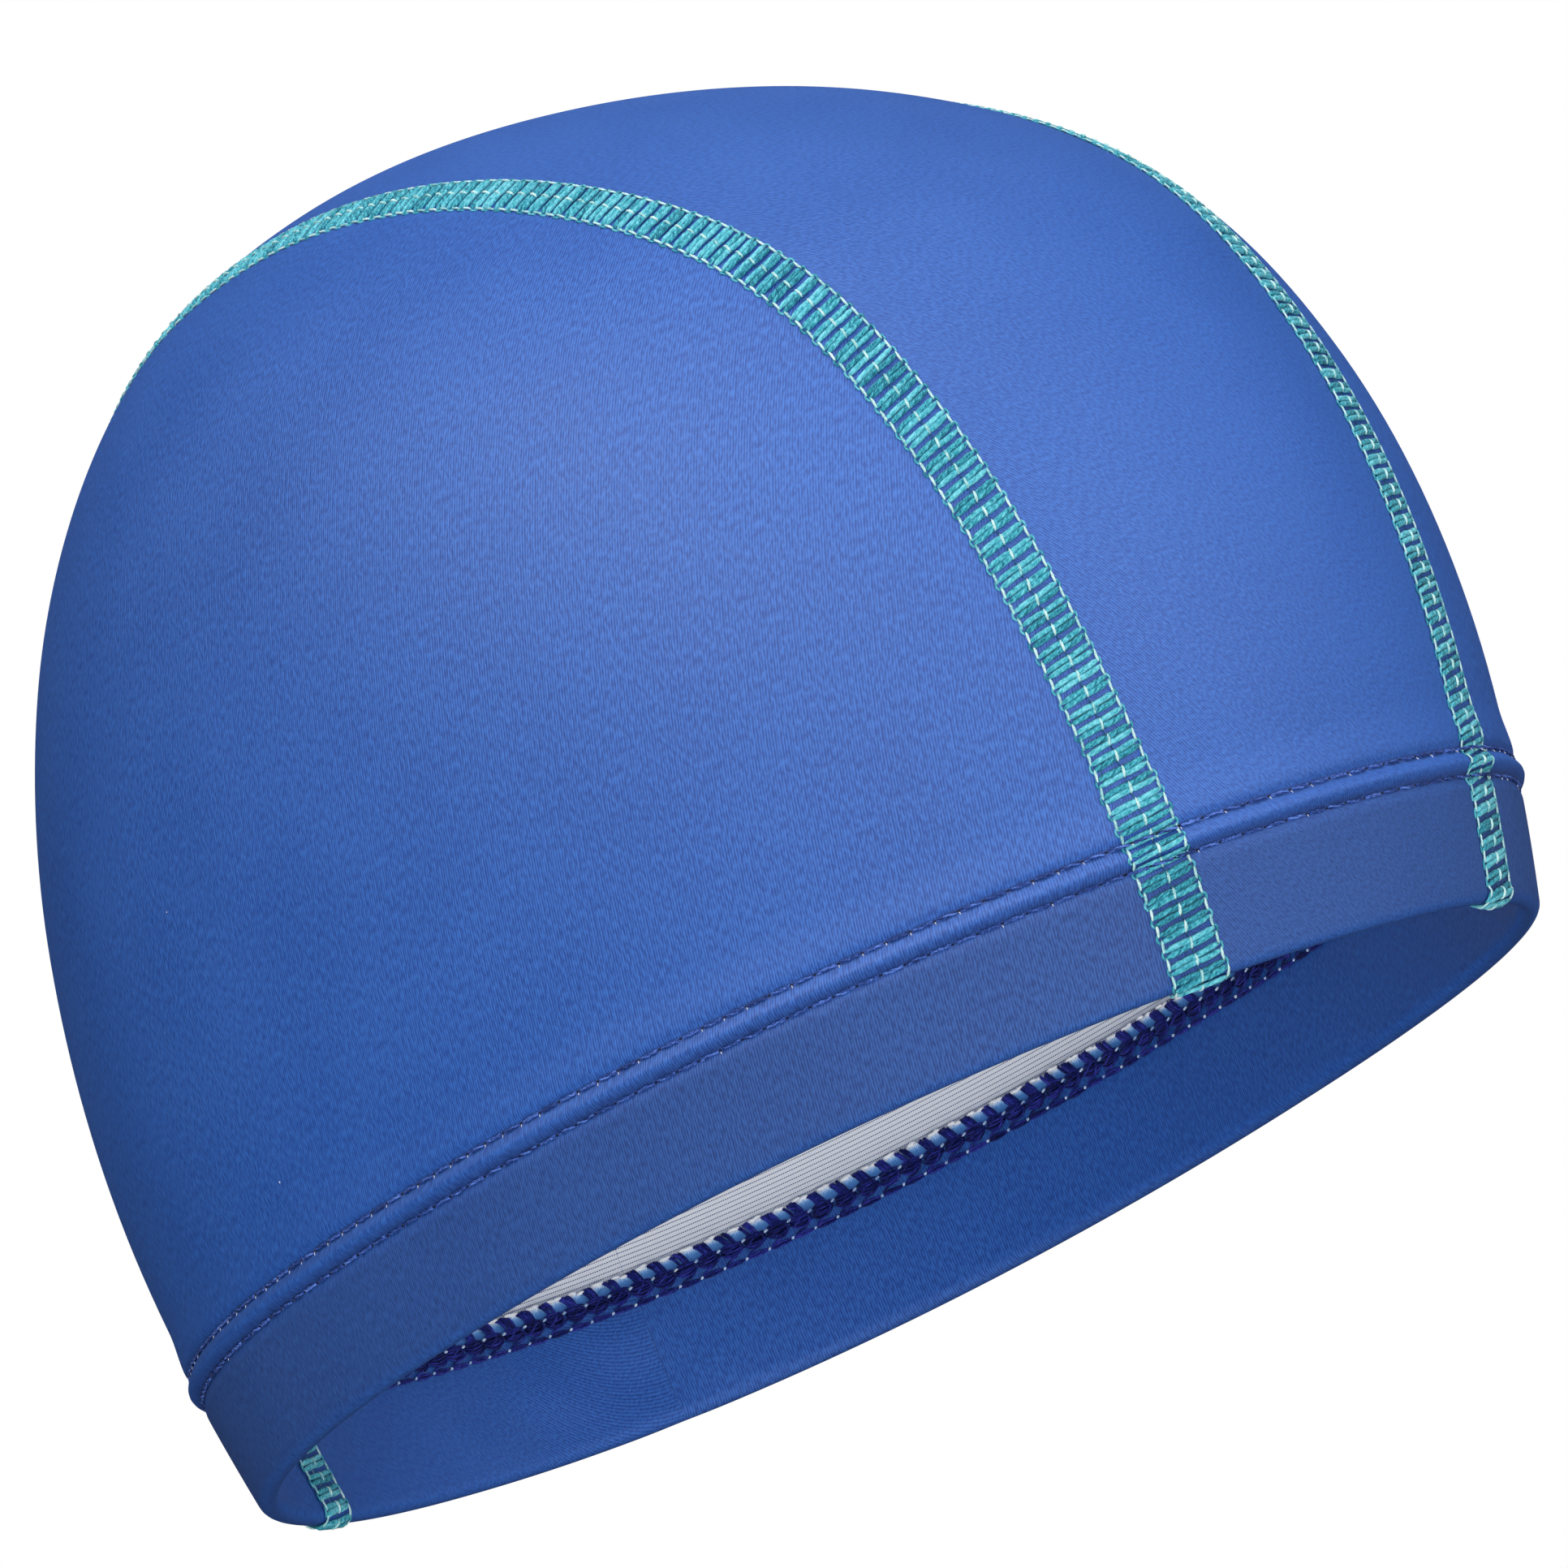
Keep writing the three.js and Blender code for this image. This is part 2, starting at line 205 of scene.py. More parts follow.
def reaches(lift):
    """Front, back and side reach of the level at a lift, with its middle's place along Y."""
    narrow = np.cos(lift)
    front, back, side = (
        smooth_table(REACH[name], 0, LEVEL_STEP, np.degrees(lift)) * narrow
        for name in ("front", "back", "side"))
    return front, back, side, (back - front) / 2 + CROWN_SET_BACK * np.sin(lift) ** 2, narrow


def rounded(value):
    return np.sign(value) * np.abs(value) ** (2 / SQUARENESS)


def dome(lift, turn):
    """The head's dome: a point at a lift above the rim and a turn from the front."""
    front, back, side, middle, narrow = reaches(lift)
    x = side * rounded(np.sin(turn)) * (1 - EGG * np.cos(turn) * narrow)
    y = middle - (front + back) / 2 * rounded(np.cos(turn))
    rise = RIM_SIDE_RISE * narrow ** 3 * np.sin(turn) ** 2
    x, y, z = np.broadcast_arrays(x, y, CROWN_HEIGHT * np.sin(lift) + rise)
    return np.stack([x, y, z], -1)


def unit(vectors):
    return vectors / np.linalg.norm(vectors, axis=-1, keepdims=True)


def outward(lift, turn):
    step = 0.004
    low = np.minimum(lift, math.pi / 2 - 0.02)
    around = dome(low, turn + step) - dome(low, turn - step)
    up = dome(low + step, turn) - dome(low - step, turn)
    return unit(np.cross(around, up))


def lengths(points, axis=0):
    """How far along its line each point lies. Lines of points run along the axis."""
    steps = np.linalg.norm(np.diff(points, axis=axis), axis=-1)
    return np.concatenate([0 * steps.take([0], axis), np.cumsum(steps, axis)], axis)


TURNS = np.linspace(0, math.pi, 361)
LIFTS = np.linspace(0, math.pi / 2, 361)
HEIGHTS = np.linspace(0, 60, 121)
CLIMB = lengths(dome(LIFTS[None, :], TURNS[:, None]), 1)
LIFT_OF_HEIGHT = np.array([np.interp(HEIGHTS, climb, LIFTS) for climb in CLIMB])


def between(table, row, column):
    """A table read between its entries, at places along its rows and columns."""
    i, j = np.broadcast_arrays(
        np.clip(row, 0, len(table) - 1.0001), np.clip(column, 0, table.shape[1] - 1.0001))
    i0, j0 = i.astype(int), j.astype(int)
    p, q = i - i0, j - j0
    if table.ndim > 2:
        p, q = p[..., None], q[..., None]
    low = table[i0, j0] * (1 - q) + table[i0, j0 + 1] * q
    high = table[i0 + 1, j0] * (1 - q) + table[i0 + 1, j0 + 1] * q
    return low * (1 - p) + high * p


def lift_at(turn, height):
    return between(LIFT_OF_HEIGHT, np.abs(turn) / TURNS[1], height / HEIGHTS[1])


def height_at(turn, lift):
    return between(CLIMB, np.abs(turn) / TURNS[1], lift / LIFTS[1])


def relief(height, pinch=ROW_PINCH):
    """How far the outer face stands out at a height above the fold."""
    fade = np.clip((height - HEM_DEPTH + 1) / (HEM_SWELL_ENDS - HEM_DEPTH + 1), 0, 1)
    out = HEM_SWELL * (1 - fade * fade * (3 - 2 * fade))
    if pinch > 0:
        out = out + RIDGE * np.exp(-(((height - sum(NEEDLE_ROWS) / 2) / RIDGE_REACH) ** 2))
    for row in NEEDLE_ROWS:
        out = out - pinch * np.exp(-(((height - row) / ROW_PINCH_REACH) ** 2))
    return out


def seam_angle(points):
    return np.degrees(np.arctan2(points[..., 2], -points[..., 1]))


def seam_half_width(side, angle):
    return smooth_table(SEAM_HALF_WIDTH[side], SEAM_FIRST, SEAM_STEP, angle)


def crossing(miss, low, high, rounds=40):
    """Where a miss that grows from below zero at low to above it at high comes to zero."""
    low, high = np.broadcast_arrays(np.asarray(low, float), np.asarray(high, float))
    for _ in range(rounds):
        middle = (low + high) / 2
        over = miss(middle) > 0
        high = np.where(over, middle, high)
        low = np.where(over, low, middle)
    return (low + high) / 2


def on_dome(angle, x):
    """The lift and turn of the dome's point at a seam angle and a given x."""
    ahead, above = np.cos(np.radians(angle)), np.sin(np.radians(angle))

    def level_and_turn(radius):
        y, z = -radius * ahead, radius * above
        rise = 0.0
        for _ in range(4):
            lift = np.arcsin(np.clip((z - rise) / CROWN_HEIGHT, 0, 1 - 1e-9))
            front, back, side, middle, narrow = reaches(lift)
            share = (middle - y) / ((front + back) / 2)
            cos_turn = np.sign(share) * np.minimum(np.abs(share), 1e3) ** (SQUARENESS / 2)
            rise = RIM_SIDE_RISE * narrow ** 3 * np.clip(1 - cos_turn ** 2, 0, 1)
        across = np.abs(x) / (side * (1 - EGG * np.clip(cos_turn, -1, 1) * narrow))
        sin_turn = np.minimum(across, 1e3) ** (SQUARENESS / 2)
        return lift, cos_turn, sin_turn, z - rise

    def miss(radius):
        lift, cos_turn, sin_turn, level = level_and_turn(radius)
        return np.where(level > CROWN_HEIGHT, 1.0, cos_turn ** 2 + sin_turn ** 2 - 1)

    angle, x = np.broadcast_arrays(angle, x)
    radius = crossing(miss, np.full(x.shape, 40.0), np.full(x.shape, 220.0))
    lift, cos_turn, sin_turn, level = level_and_turn(radius)
    return lift, np.arctan2(np.sign(x) * sin_turn, cos_turn)


# The hem's rows follow the cloth from the raw edge inside, down to the fold and up the wall.
# Each has a height above the fold and a depth, for the blue face and for the white back.
# They lie closest where the needle rows pinch the cloth.
hem_up = np.linspace(HEM_DEPTH, FOLD_RADIUS + 0.5, 17)
bends = np.linspace(math.pi, 0, 13)
wall_up = np.concatenate([
    np.linspace(FOLD_RADIUS + 0.9, 13.4, 11),
    np.arange(13.75, 20.2, 0.33),
    np.linspace(20.6, HEM_SWELL_ENDS, 7),
])
GAP_RADIUS = LAYER_GAP / 2
rows_height = np.concatenate([hem_up, FOLD_RADIUS * (1 - np.sin(bends)), wall_up])
rows_depth = np.concatenate([
    np.full(len(hem_up), HEM_THICK), FOLD_RADIUS * (1 - np.cos(bends)), np.zeros(len(wall_up))])
rows_back_height = np.concatenate([hem_up, FOLD_RADIUS - GAP_RADIUS * np.sin(bends), wall_up])
rows_back_depth = np.concatenate([
    np.full(len(hem_up), WALL + LAYER_GAP),
    FOLD_RADIUS - GAP_RADIUS * np.cos(bends),
    np.full(len(wall_up), WALL)])
QUARTER_FOLD = FOLD_RADIUS * math.pi / 2
rows_along = np.concatenate([
    FOLD_RADIUS - hem_up - QUARTER_FOLD,
    FOLD_RADIUS * (math.pi / 2 - bends),
    wall_up - FOLD_RADIUS + QUARTER_FOLD])
rows_inside = np.arange(len(rows_height)) < len(hem_up) + len(bends) // 2


def wrinkles(turn, height):
    """The faint slack of the hem's inner layer, which no needle row holds near the fold."""
    slack = np.sin(math.pi * np.clip(height / NEEDLE_ROWS[0], 0, 1)) ** 2
    around = np.degrees(turn)
    wave = np.sin(around * 0.21 + 0.16 * height + 1.3)
    wave = wave + 0.6 * np.sin(around * 0.47 - 0.3 * height)
    patch = np.clip(np.sin(around * 0.043 + 0.7), 0, 1) ** 2
    return WRINKLES * slack * patch * wave


def cloth_points(lift, turn, crown, column, to_seam):
    """The cloth's face, its back and how far it has risen from the fold. Its rows are the
    hem's, which column spreads out over the sheet, and the crown's."""
    height = height_at(turn, lift)
    face_height = np.where(crown, height, column(rows_height, 0))
    back_height = np.where(crown, height, column(rows_back_height, 0))
    rise = np.where(crown, height - FOLD_RADIUS + QUARTER_FOLD, column(rows_along, 0))
    inside = column(rows_inside, 0) > 0
    dip = SEAM_DIP * np.exp(-((to_seam / SEAM_DIP_REACH) ** 2))
    outer = relief(np.maximum(face_height, 0)) - dip
    inner = relief(back_height, -INNER_PINCH) - wrinkles(turn, face_height)
    face_out = np.where(inside, inner, outer) - column(rows_depth, 0)
    back_out = relief(back_height, 0) - np.where(inside, 0, dip) - column(rows_back_depth, WALL)
    base, out = dome(lift, turn), outward(lift, turn)
    return base + out * face_out[..., None], base + out * back_out[..., None], rise


def sheet_mesh(name, face, back, along, across, rise, materials):
    """A closed sheet between two grids of points, with a strip round its border."""
    rows, columns = face.shape[:2]
    count = rows * columns
    corner = (np.arange(rows - 1)[:, None] * columns + np.arange(columns - 1)[None, :]).ravel()
    quads = np.stack([corner, corner + 1, corner + columns + 1, corner + columns], -1)
    grid = np.arange(count).reshape(rows, columns)
    loop = np.concatenate([grid[0, :-1], grid[:-1, -1], grid[-1, :0:-1], grid[:0:-1, 0]])
    next_loop = np.roll(loop, -1)
    strip = np.stack([next_loop, loop, loop + count, next_loop + count], -1)
    middle = rows // 2
    first = face[middle, columns // 2]
    turned = np.cross(
        face[middle, columns // 2 + 1] - first, face[middle + 1, columns // 2] - first)
    faces = np.concatenate([quads, (quads + count)[:, ::-1], strip])
    if turned @ (first - back[middle, columns // 2]) < 0:
        faces = faces[:, ::-1]
    points = np.concatenate([face.reshape(-1, 3), back.reshape(-1, 3)]) / 1000
    mesh = bpy.data.meshes.new(name)
    mesh.from_pydata(points.tolist(), [], faces.tolist())
    for material in materials:
        mesh.materials.append(material)
    slots = np.repeat([0, 1, 2], [len(quads), len(quads), len(strip)])
    mesh.polygons.foreach_set("material_index", slots.astype(np.int32))
    mesh.polygons.foreach_set("use_smooth", np.ones(len(faces), bool))
    for layer, up in (("cloth", along), ("hem", rise)):
        uv = np.stack([across, up], -1).reshape(-1, 2)
        uv = np.concatenate([uv, uv])[faces.ravel()]
        mesh.uv_layers.new(name=layer).data.foreach_set("uv", uv.ravel().astype(np.float32))
    mesh.set_sharp_from_angle(angle=math.radians(50))
    mesh.update()
    sheet = bpy.data.objects.new(name, mesh)
    bpy.context.scene.collection.objects.link(sheet)
    return sheet


class Socket:
    """A node's output. Sums on it in Python add Math nodes, and node adds any other kind."""

    def __init__(self, tree, output=None):
        self.tree = tree
        self.output = output

    def node(self, kind, settings=(), sockets=(), output=0):
        made = self.tree.nodes.new(kind)
        for name, value in dict(settings).items():
            if name == "stops":
                ramp = made.color_ramp.elements
                while len(ramp) < len(value):
                    ramp.new(0.5)
                for stop, (place, colour) in zip(ramp, value):
                    stop.position = place
                    stop.color = (*colour, 1)
            else:
                setattr(made, name, value)
        for name, value in dict(sockets).items():
            if isinstance(value, Socket):
                self.tree.links.new(value.output, made.inputs[name])
            else:
                made.inputs[name].default_value = value
        return Socket(self.tree, made.outputs[output])

    def other(self, name):
        """Another output of the same node."""
        return Socket(self.tree, self.output.node.outputs[name])

    def math(self, operation, *values):
        return self.node("ShaderNodeMath", {"operation": operation}, dict(enumerate(values)))

    def __add__(self, other):
        return self.math("ADD", self, other)

    def __sub__(self, other):
        return self.math("SUBTRACT", self, other)

    def __rsub__(self, other):
        return self.math("SUBTRACT", other, self)

    def __mul__(self, other):
        return self.math("MULTIPLY", self, other)

    def __truediv__(self, other):
        return self.math("DIVIDE", self, other)

    __radd__ = __add__
    __rmul__ = __mul__

    def sin(self):
        return self.math("SINE", self)

    def clamped(self):
        return self.node("ShaderNodeClamp", {}, {"Value": self})

    def mixed(self, first, second):
        """A colour between two, with this value as the share of the second."""
        pair = {6: first, 7: second}
        pair = {k: v if isinstance(v, Socket) else (*v, 1) for k, v in pair.items()}
        return self.node("ShaderNodeMix", {"data_type": "RGBA"}, {0: self, **pair}, output=2)

    def noise(self, scale, detail=2.0):
        return self.node(
            "ShaderNodeTexNoise", {}, {"Vector": self, "Scale": scale, "Detail": detail})


def new_material(name):
    material = bpy.data.materials.new(name)
    material.use_nodes = True
    material.node_tree.nodes.clear()
    return material, Socket(material.node_tree)


def finish_material(start, colour, roughness, height, bump, **constants):
    """The shader at the end of a material. A bump's distance is in metres."""
    normal = start.node(
        "ShaderNodeBump", {}, {"Height": height, "Distance": bump, "Strength": 1.0})
    sockets = {"Base Color": colour, "Roughness": roughness, "Normal": normal, **constants}
    surface = start.node("ShaderNodeBsdfPrincipled", {}, sockets)
    out = start.tree.nodes.new("ShaderNodeOutputMaterial")
    start.tree.links.new(surface.output, out.inputs["Surface"])


def place_on(start, uv_map):
    """Where a point lies on a UV map, in millimetres: across or around, and up or along."""
    place = start.node("ShaderNodeUVMap", {"uv_map": uv_map})
    split = place.node("ShaderNodeSeparateXYZ", {}, {"Vector": place})
    return split, split.other("Y")


def joined(x, y, z=0.0):
    some = next(value for value in (x, y, z) if isinstance(value, Socket))
    return some.node("ShaderNodeCombineXYZ", {}, {"X": x, "Y": y, "Z": z})


DEEP_BLUE = (0.004, 0.050, 0.270)
LIGHT_BLUE = (0.024, 0.127, 0.490)
HEM_PAINTED_SHADE = 0.33            # painted shade: how much darker the doubled hem is painted against the crown
COMB_BLUES = (               # from the foot of the comb to the raw edge
    (0.0, (0.022, 0.115, 0.42)), (0.5, (0.060, 0.230, 0.62)),
    (0.66, (0.180, 0.430, 0.82)), (0.80, (0.85, 0.92, 1.0)),
)
GROOVE_REACH = 0.5           # how far the painted groove shade reaches below a row of needle holes
GROOVE_REACH_UP = (1.5, 0.5)
GROOVE_PAINTED_SHADE = (0.004, 0.018, 0.11)
FOLD_PAINTED_SHADE = (0.012, 0.022, 0.075)
FOLD_SHADE_REACH = 1.3
COMB_STARTS = -18.75         # on the cloth's own scale, where the fold is zero
COMB_FADES = 2.2
COMB_PITCH = 0.19
DUST = (0.75, 0.78, 0.85)
DUST_SHARE = 0.3
FULL_TURN = 2 * math.pi


def blue_knit(name, wale, stroke, slant, contrast):
    """The coated face: royal blue, with fine slanted strokes of knit and a few dust specks.
    Close to the raw edge the coating thins, and the courses show like a pale comb."""
    material, start = new_material(name)
    across, up = place_on(start, "cloth")
    leaning = across + up * slant
    strokes = joined(leaning / wale, up / stroke).noise(1.0, 1.0)
    ribs = (leaning * (FULL_TURN / wale)).sin() * 0.5 + 0.5
    body = start.node("ShaderNodeTexCoord", {}, {}, output="Object")
    mottle = body.noise(55.0, 3.0)
    knit = strokes * 0.75 + ribs * 0.25
    shade = ((knit - 0.5) * contrast + (mottle - 0.5) * 0.35 + 0.5).clamped()
    colour = shade.mixed(DEEP_BLUE, LIGHT_BLUE)
    specks = body.node(
        "ShaderNodeTexVoronoi", {}, {"Vector": body, "Scale": 75.0, "Randomness": 1.0})
    cell = specks.other("Color")
    picked = cell.node("ShaderNodeSeparateColor", {}, {"Color": cell})
    near = specks.math("LESS_THAN", specks, 0.011)
    chosen = picked.math("LESS_THAN", picked, DUST_SHARE)
    colour = (near * chosen * 0.75).mixed(colour, DUST)
    _, rise = place_on(start, "hem")
    to_edge = ((COMB_STARTS - rise) / COMB_FADES).clamped()
    teeth = (across * (FULL_TURN / COMB_PITCH)).sin() * 0.5 + 0.5
    fine = joined(across / 0.09, up / 0.6).noise(1.0, 1.0)
    comb = (to_edge * 0.9 + (teeth - 0.5) * 0.16 + (fine - 0.5) * 0.45).clamped()
    near_edge = (to_edge * 2.5).clamped()
    # The outer hem, from the fold up to the lower needle row, is painted darker as painted shade,
    # and is rougher.
    hem = (rise * 0.4).clamped() * ((NEEDLE_ROWS[0] + 1.0 - rise) * 0.5).clamped()
    # Painted shade in the groove along each needle row; the groove is rougher too.
    in_groove = 0.0
    for row, reach_up in zip(NEEDLE_ROWS, GROOVE_REACH_UP):
        from_row = rise - (row - FOLD_RADIUS + QUARTER_FOLD)
        groove_shade = (1.0 - from_row / reach_up).clamped() * (1.0 + from_row / GROOVE_REACH).clamped()
        colour = (groove_shade * 0.8).mixed(colour, GROOVE_PAINTED_SHADE)
        in_groove = groove_shade + in_groove
    # Painted shade along the fold's edge, where the cloth turns under.
    edge = (1.0 - rise.math("ABSOLUTE", rise) / FOLD_SHADE_REACH).clamped()
    colour = (edge * 0.5).mixed(colour, FOLD_PAINTED_SHADE)
    colour = (hem * HEM_PAINTED_SHADE).mixed(colour, (0, 0, 0))
    courses = comb.node("ShaderNodeValToRGB", {"stops": COMB_BLUES}, {"Fac": comb})
    colour = near_edge.mixed(colour, courses)
    height = knit + near_edge * comb
    roughness = (0.60 + (mottle - 0.5) * 0.12 + in_groove * 0.3 + hem * 0.15).clamped()
    finish_material(start, colour, roughness, height, 0.00009, **{"Specular IOR Level": 0.5})
    return material


side_face = blue_knit("side_coated_face", wale=0.36, stroke=0.95, slant=0.22, contrast=3.2)

PINSTRIPE_PITCH = 0.565
PINSTRIPE_DASH = 0.3
PINSTRIPE_NAVY = (0.018, 0.032, 0.21)
REVERSE_WHITES = ((0.86, 0.91, 1.0), (0.96, 0.98, 1.0))
CUT_COMB_PITCH = 0.32
CUT_BLUES = ((0.05, 0.13, 0.36), (0.26, 0.42, 0.72))


def pinstriped_back():
    """The uncoated reverse: white knit with fine navy pinstripes along the rim."""
    material, start = new_material("pinstriped_reverse")
    across, _ = place_on(start, "cloth")
    _, up = place_on(start, "hem")
    line = (up * (FULL_TURN / PINSTRIPE_PITCH)).sin()
    dash = (across * (FULL_TURN / PINSTRIPE_DASH) + line * 1.2).sin()
    stripe = ((line - 0.82 + dash * 0.16) * 8.0).clamped()
    grain = joined(across / 0.16, up / 0.22).noise(1.0, 1.0)
    white = (grain * 1.6 - 0.3).clamped().mixed(*REVERSE_WHITES)
    colour = stripe.mixed(white, PINSTRIPE_NAVY)
    height = grain * 0.5 - stripe * 0.6 + dash * 0.12
    finish_material(start, colour, 0.85, height, 0.00003)
    return material


def cut_edge():
    """The raw edge of the cloth: pale blue, with the cut courses like a comb."""
    material, start = new_material("cut_edge")
    across, up = place_on(start, "cloth")
    comb = (across * (FULL_TURN / CUT_COMB_PITCH)).sin() * 0.5 + 0.5
    grain = joined(across / 0.12, up / 0.3).noise(1.0, 1.0)
    shade = (comb * 0.6 + grain * 0.5 - 0.05).clamped()
    colour = shade.mixed(*CUT_BLUES)
    finish_material(start, colour, 0.8, shade, 0.00008)
    return material


reverse = pinstriped_back()
raw_edge = cut_edge()


def side_panel(side):
    """One side panel: rows of one height or level, run from the front seam to the back one."""
    sign = SIDES[side]

    angles = np.linspace(20, 160, 561)
    seam_lift, seam_turn = on_dome(angles, seam_half_width(side, angles) + PANEL_GAP / 2)
    top_lift, top_turn = seam_lift.max(), seam_turn[seam_lift.argmax()]
    share = np.sin(np.linspace(0, math.pi / 2, SIDE_CROWN_ROWS + 1))[1:] * 0.9996
    share = np.concatenate([np.zeros(len(rows_height)), share])[:, None]
    fixed = np.concatenate([rows_height, np.full(SIDE_CROWN_ROWS, HEM_SWELL_ENDS)])[:, None]

    def row_lift(turn):
        low = lift_at(turn, fixed)
        return low + (top_lift - low) * share

    def clearance(turn):
        point = dome(row_lift(turn), turn)
        return point[..., 0] - seam_half_width(side, seam_angle(point)) - PANEL_GAP / 2

    tops = np.full(fixed.shape, top_turn)
    front = crossing(clearance, 0, tops)
    rear = crossing(lambda turn: -clearance(turn), tops, math.pi)
    turn = front + (rear - front) * np.linspace(0, 1, SIDE_COLUMNS + 1)
    lift = row_lift(turn)
    run = lengths(dome(lift, turn), 1)
    to_seam = np.minimum(run, run[:, -1:] - run)
    middle = np.array([np.interp(math.pi / 2, t, r) for t, r in zip(turn, run)])

    def column(values, fill):
        return np.concatenate([values, np.full(SIDE_CROWN_ROWS, fill)])[:, None]

    face, back, rise = cloth_points(lift, turn, share > 0, column, to_seam)
    face[..., 0] *= sign
    back[..., 0] *= sign
    return sheet_mesh(
        side + "_side_cloth", face, back, rise, run - middle[:, None], rise,
        [side_face, reverse, raw_edge])


for side in SIDES:
    panel = side_panel(side)
    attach(panel, "root")
    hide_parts(side + "_panel")


# The centre panel. It is a long strip of the same cloth, a little finer in its knit, from
# the front rim over the crown to the back rim, with a hem folded in at both ends.
CENTRE_COLUMNS = 64
CENTRE_CROWN_ROWS = 230

centre_face = blue_knit("centre_coated_face", wale=0.34, stroke=0.5, slant=0.6, contrast=2.7)


def turn_reaching(heights, reach, at_back):
    """The turn at which each height's line comes as far out as reach says for its angle."""
    sense, start, stop = (-1, 1.8, math.pi) if at_back else (1, 0, 1.3)

    def miss(turn):
        point = dome(lift_at(turn, heights), turn)
        return sense * (point[..., 0] - reach(seam_angle(point)))
    return crossing(miss, np.full(heights.shape, start), np.full(heights.shape, stop))


def centre_panel():
    """The centre panel: rows across it, from the front hem's raw edge to the back one's."""
    across = np.linspace(-1, 1, CENTRE_COLUMNS + 1)[None, :]

    def half_width(angle):
        widths = [seam_half_width(side, angle) for side in SIDES]
        return np.where(across < 0, *widths) - PANEL_GAP / 2

    heights = np.repeat(rows_height[:, None], CENTRE_COLUMNS + 1, 1)
    ends = []
    for at_back in (False, True):
        turn = turn_reaching(heights, lambda angle: np.abs(across) * half_width(angle), at_back)
        ends.append((lift_at(turn, heights), np.where(across < 0, -turn, turn)))
    tops = [seam_angle(dome(lift[-1], turn[-1])) for lift, turn in ends]
    share = np.linspace(0, 1, CENTRE_CROWN_ROWS + 2)[1:-1, None]
    angle = tops[0] + (tops[1] - tops[0]) * share
    crown_lift, crown_turn = on_dome(angle, across * half_width(angle))
    lift = np.concatenate([ends[0][0], crown_lift, ends[1][0][::-1]])
    turn = np.concatenate([ends[0][1], crown_turn, ends[1][1][::-1]])
    crown = np.zeros(len(lift), bool)
    crown[len(rows_height):-len(rows_height)] = True
    crown = crown[:, None]

    def column(values, fill):
        return np.concatenate([values, np.full(CENTRE_CROWN_ROWS, fill), values[::-1]])[:, None]

    base = dome(lift, turn)
    climbed = lengths(base)
    start = len(rows_height) - 1
    top = rows_along[-1]
    along = np.where(crown, top + climbed - climbed[start], column(rows_along, 0.0))
    last = along[-len(rows_height) - 1] + 1.5 + top
    along[-len(rows_height):] = last - along[-len(rows_height):]
    to_seam = (1 - np.abs(across)) * half_width(seam_angle(base))
    face, back, rise = cloth_points(lift, turn, crown, column, to_seam)
    return sheet_mesh(
        "centre_cloth", face, back, along, base[..., 0], rise, [centre_face, reverse, raw_edge])


panel = centre_panel()
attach(panel, "root")
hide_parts("centre_panel")


# The flatlock seams. A band of stitches butts the panels' edges: rungs of two fluffy
# turquoise threads lie across it, caught down by a chain of paler thread along each edge and
# by a row of short stitches along the middle. It runs from the hem's inside over the crown.
RUNG_PITCH = 2.04
BAND_HALF = 3.2
RAIL_REACH = 3.7
BAND_INNER_END = 14.6
RUNG_SLANT = {"right": 0.18, "left": 0.24}   # along the seam, for each millimetre across
SEAM_SEEDS = {"right": 11, "left": 23}

# Thread colours as dark, middle and light: painted shade in the gaps, the thread's own colour, and
# a painted highlight.
TURQUOISE = ((0.003, 0.105, 0.17), (0.036, 0.345, 0.440), (0.18, 0.61, 0.71))
MINT = ((0.10, 0.40, 0.45), (0.42, 0.70, 0.70), (0.68, 0.86, 0.84))
DEEP_TEAL = ((0.006, 0.07, 0.15), (0.015, 0.14, 0.24), (0.04, 0.25, 0.36))


def yarn_material(name, colours, lay=1.0, fluff=0.00006, roughness=0.8):
    """Loose thread: fibres that run along it with a lean, with painted shade where they part and
    painted highlights along them.
    """
    material, start = new_material(name)
    around, length = place_on(start, "yarn")
    tone = start.node("ShaderNodeAttribute", {"attribute_name": "tone"}, {}, output="Fac")
    shifted = length + tone * 37.0
    coarse = joined(around * 5.0 + shifted * lay, shifted * 1.3).noise(1.0, 2.0)
    fine = joined(around * 13.0 + shifted * lay * 2.2, shifted * 2.9).noise(1.0, 1.0)
    fibres = coarse * 0.55 + fine * 0.45
    shade = ((fibres - 0.5) * 2.6 + 0.5 + (tone - 0.5) * 0.45).clamped()
    # The dark stop is painted shade where fibres part, and the light stop a painted highlight; the
    # middle is the thread's own colour.
    dark, middle, light = colours
    stops = [(0.12, dark), (0.48, middle), (0.9, light)]
    colour = shade.node("ShaderNodeValToRGB", {"stops": stops}, {"Fac": shade})
    finish_material(
        start, colour, roughness, fibres, fluff,
        **{"Specular IOR Level": 0.2, "Sheen Weight": 0.05, "Sheen Roughness": 0.5})
    return material


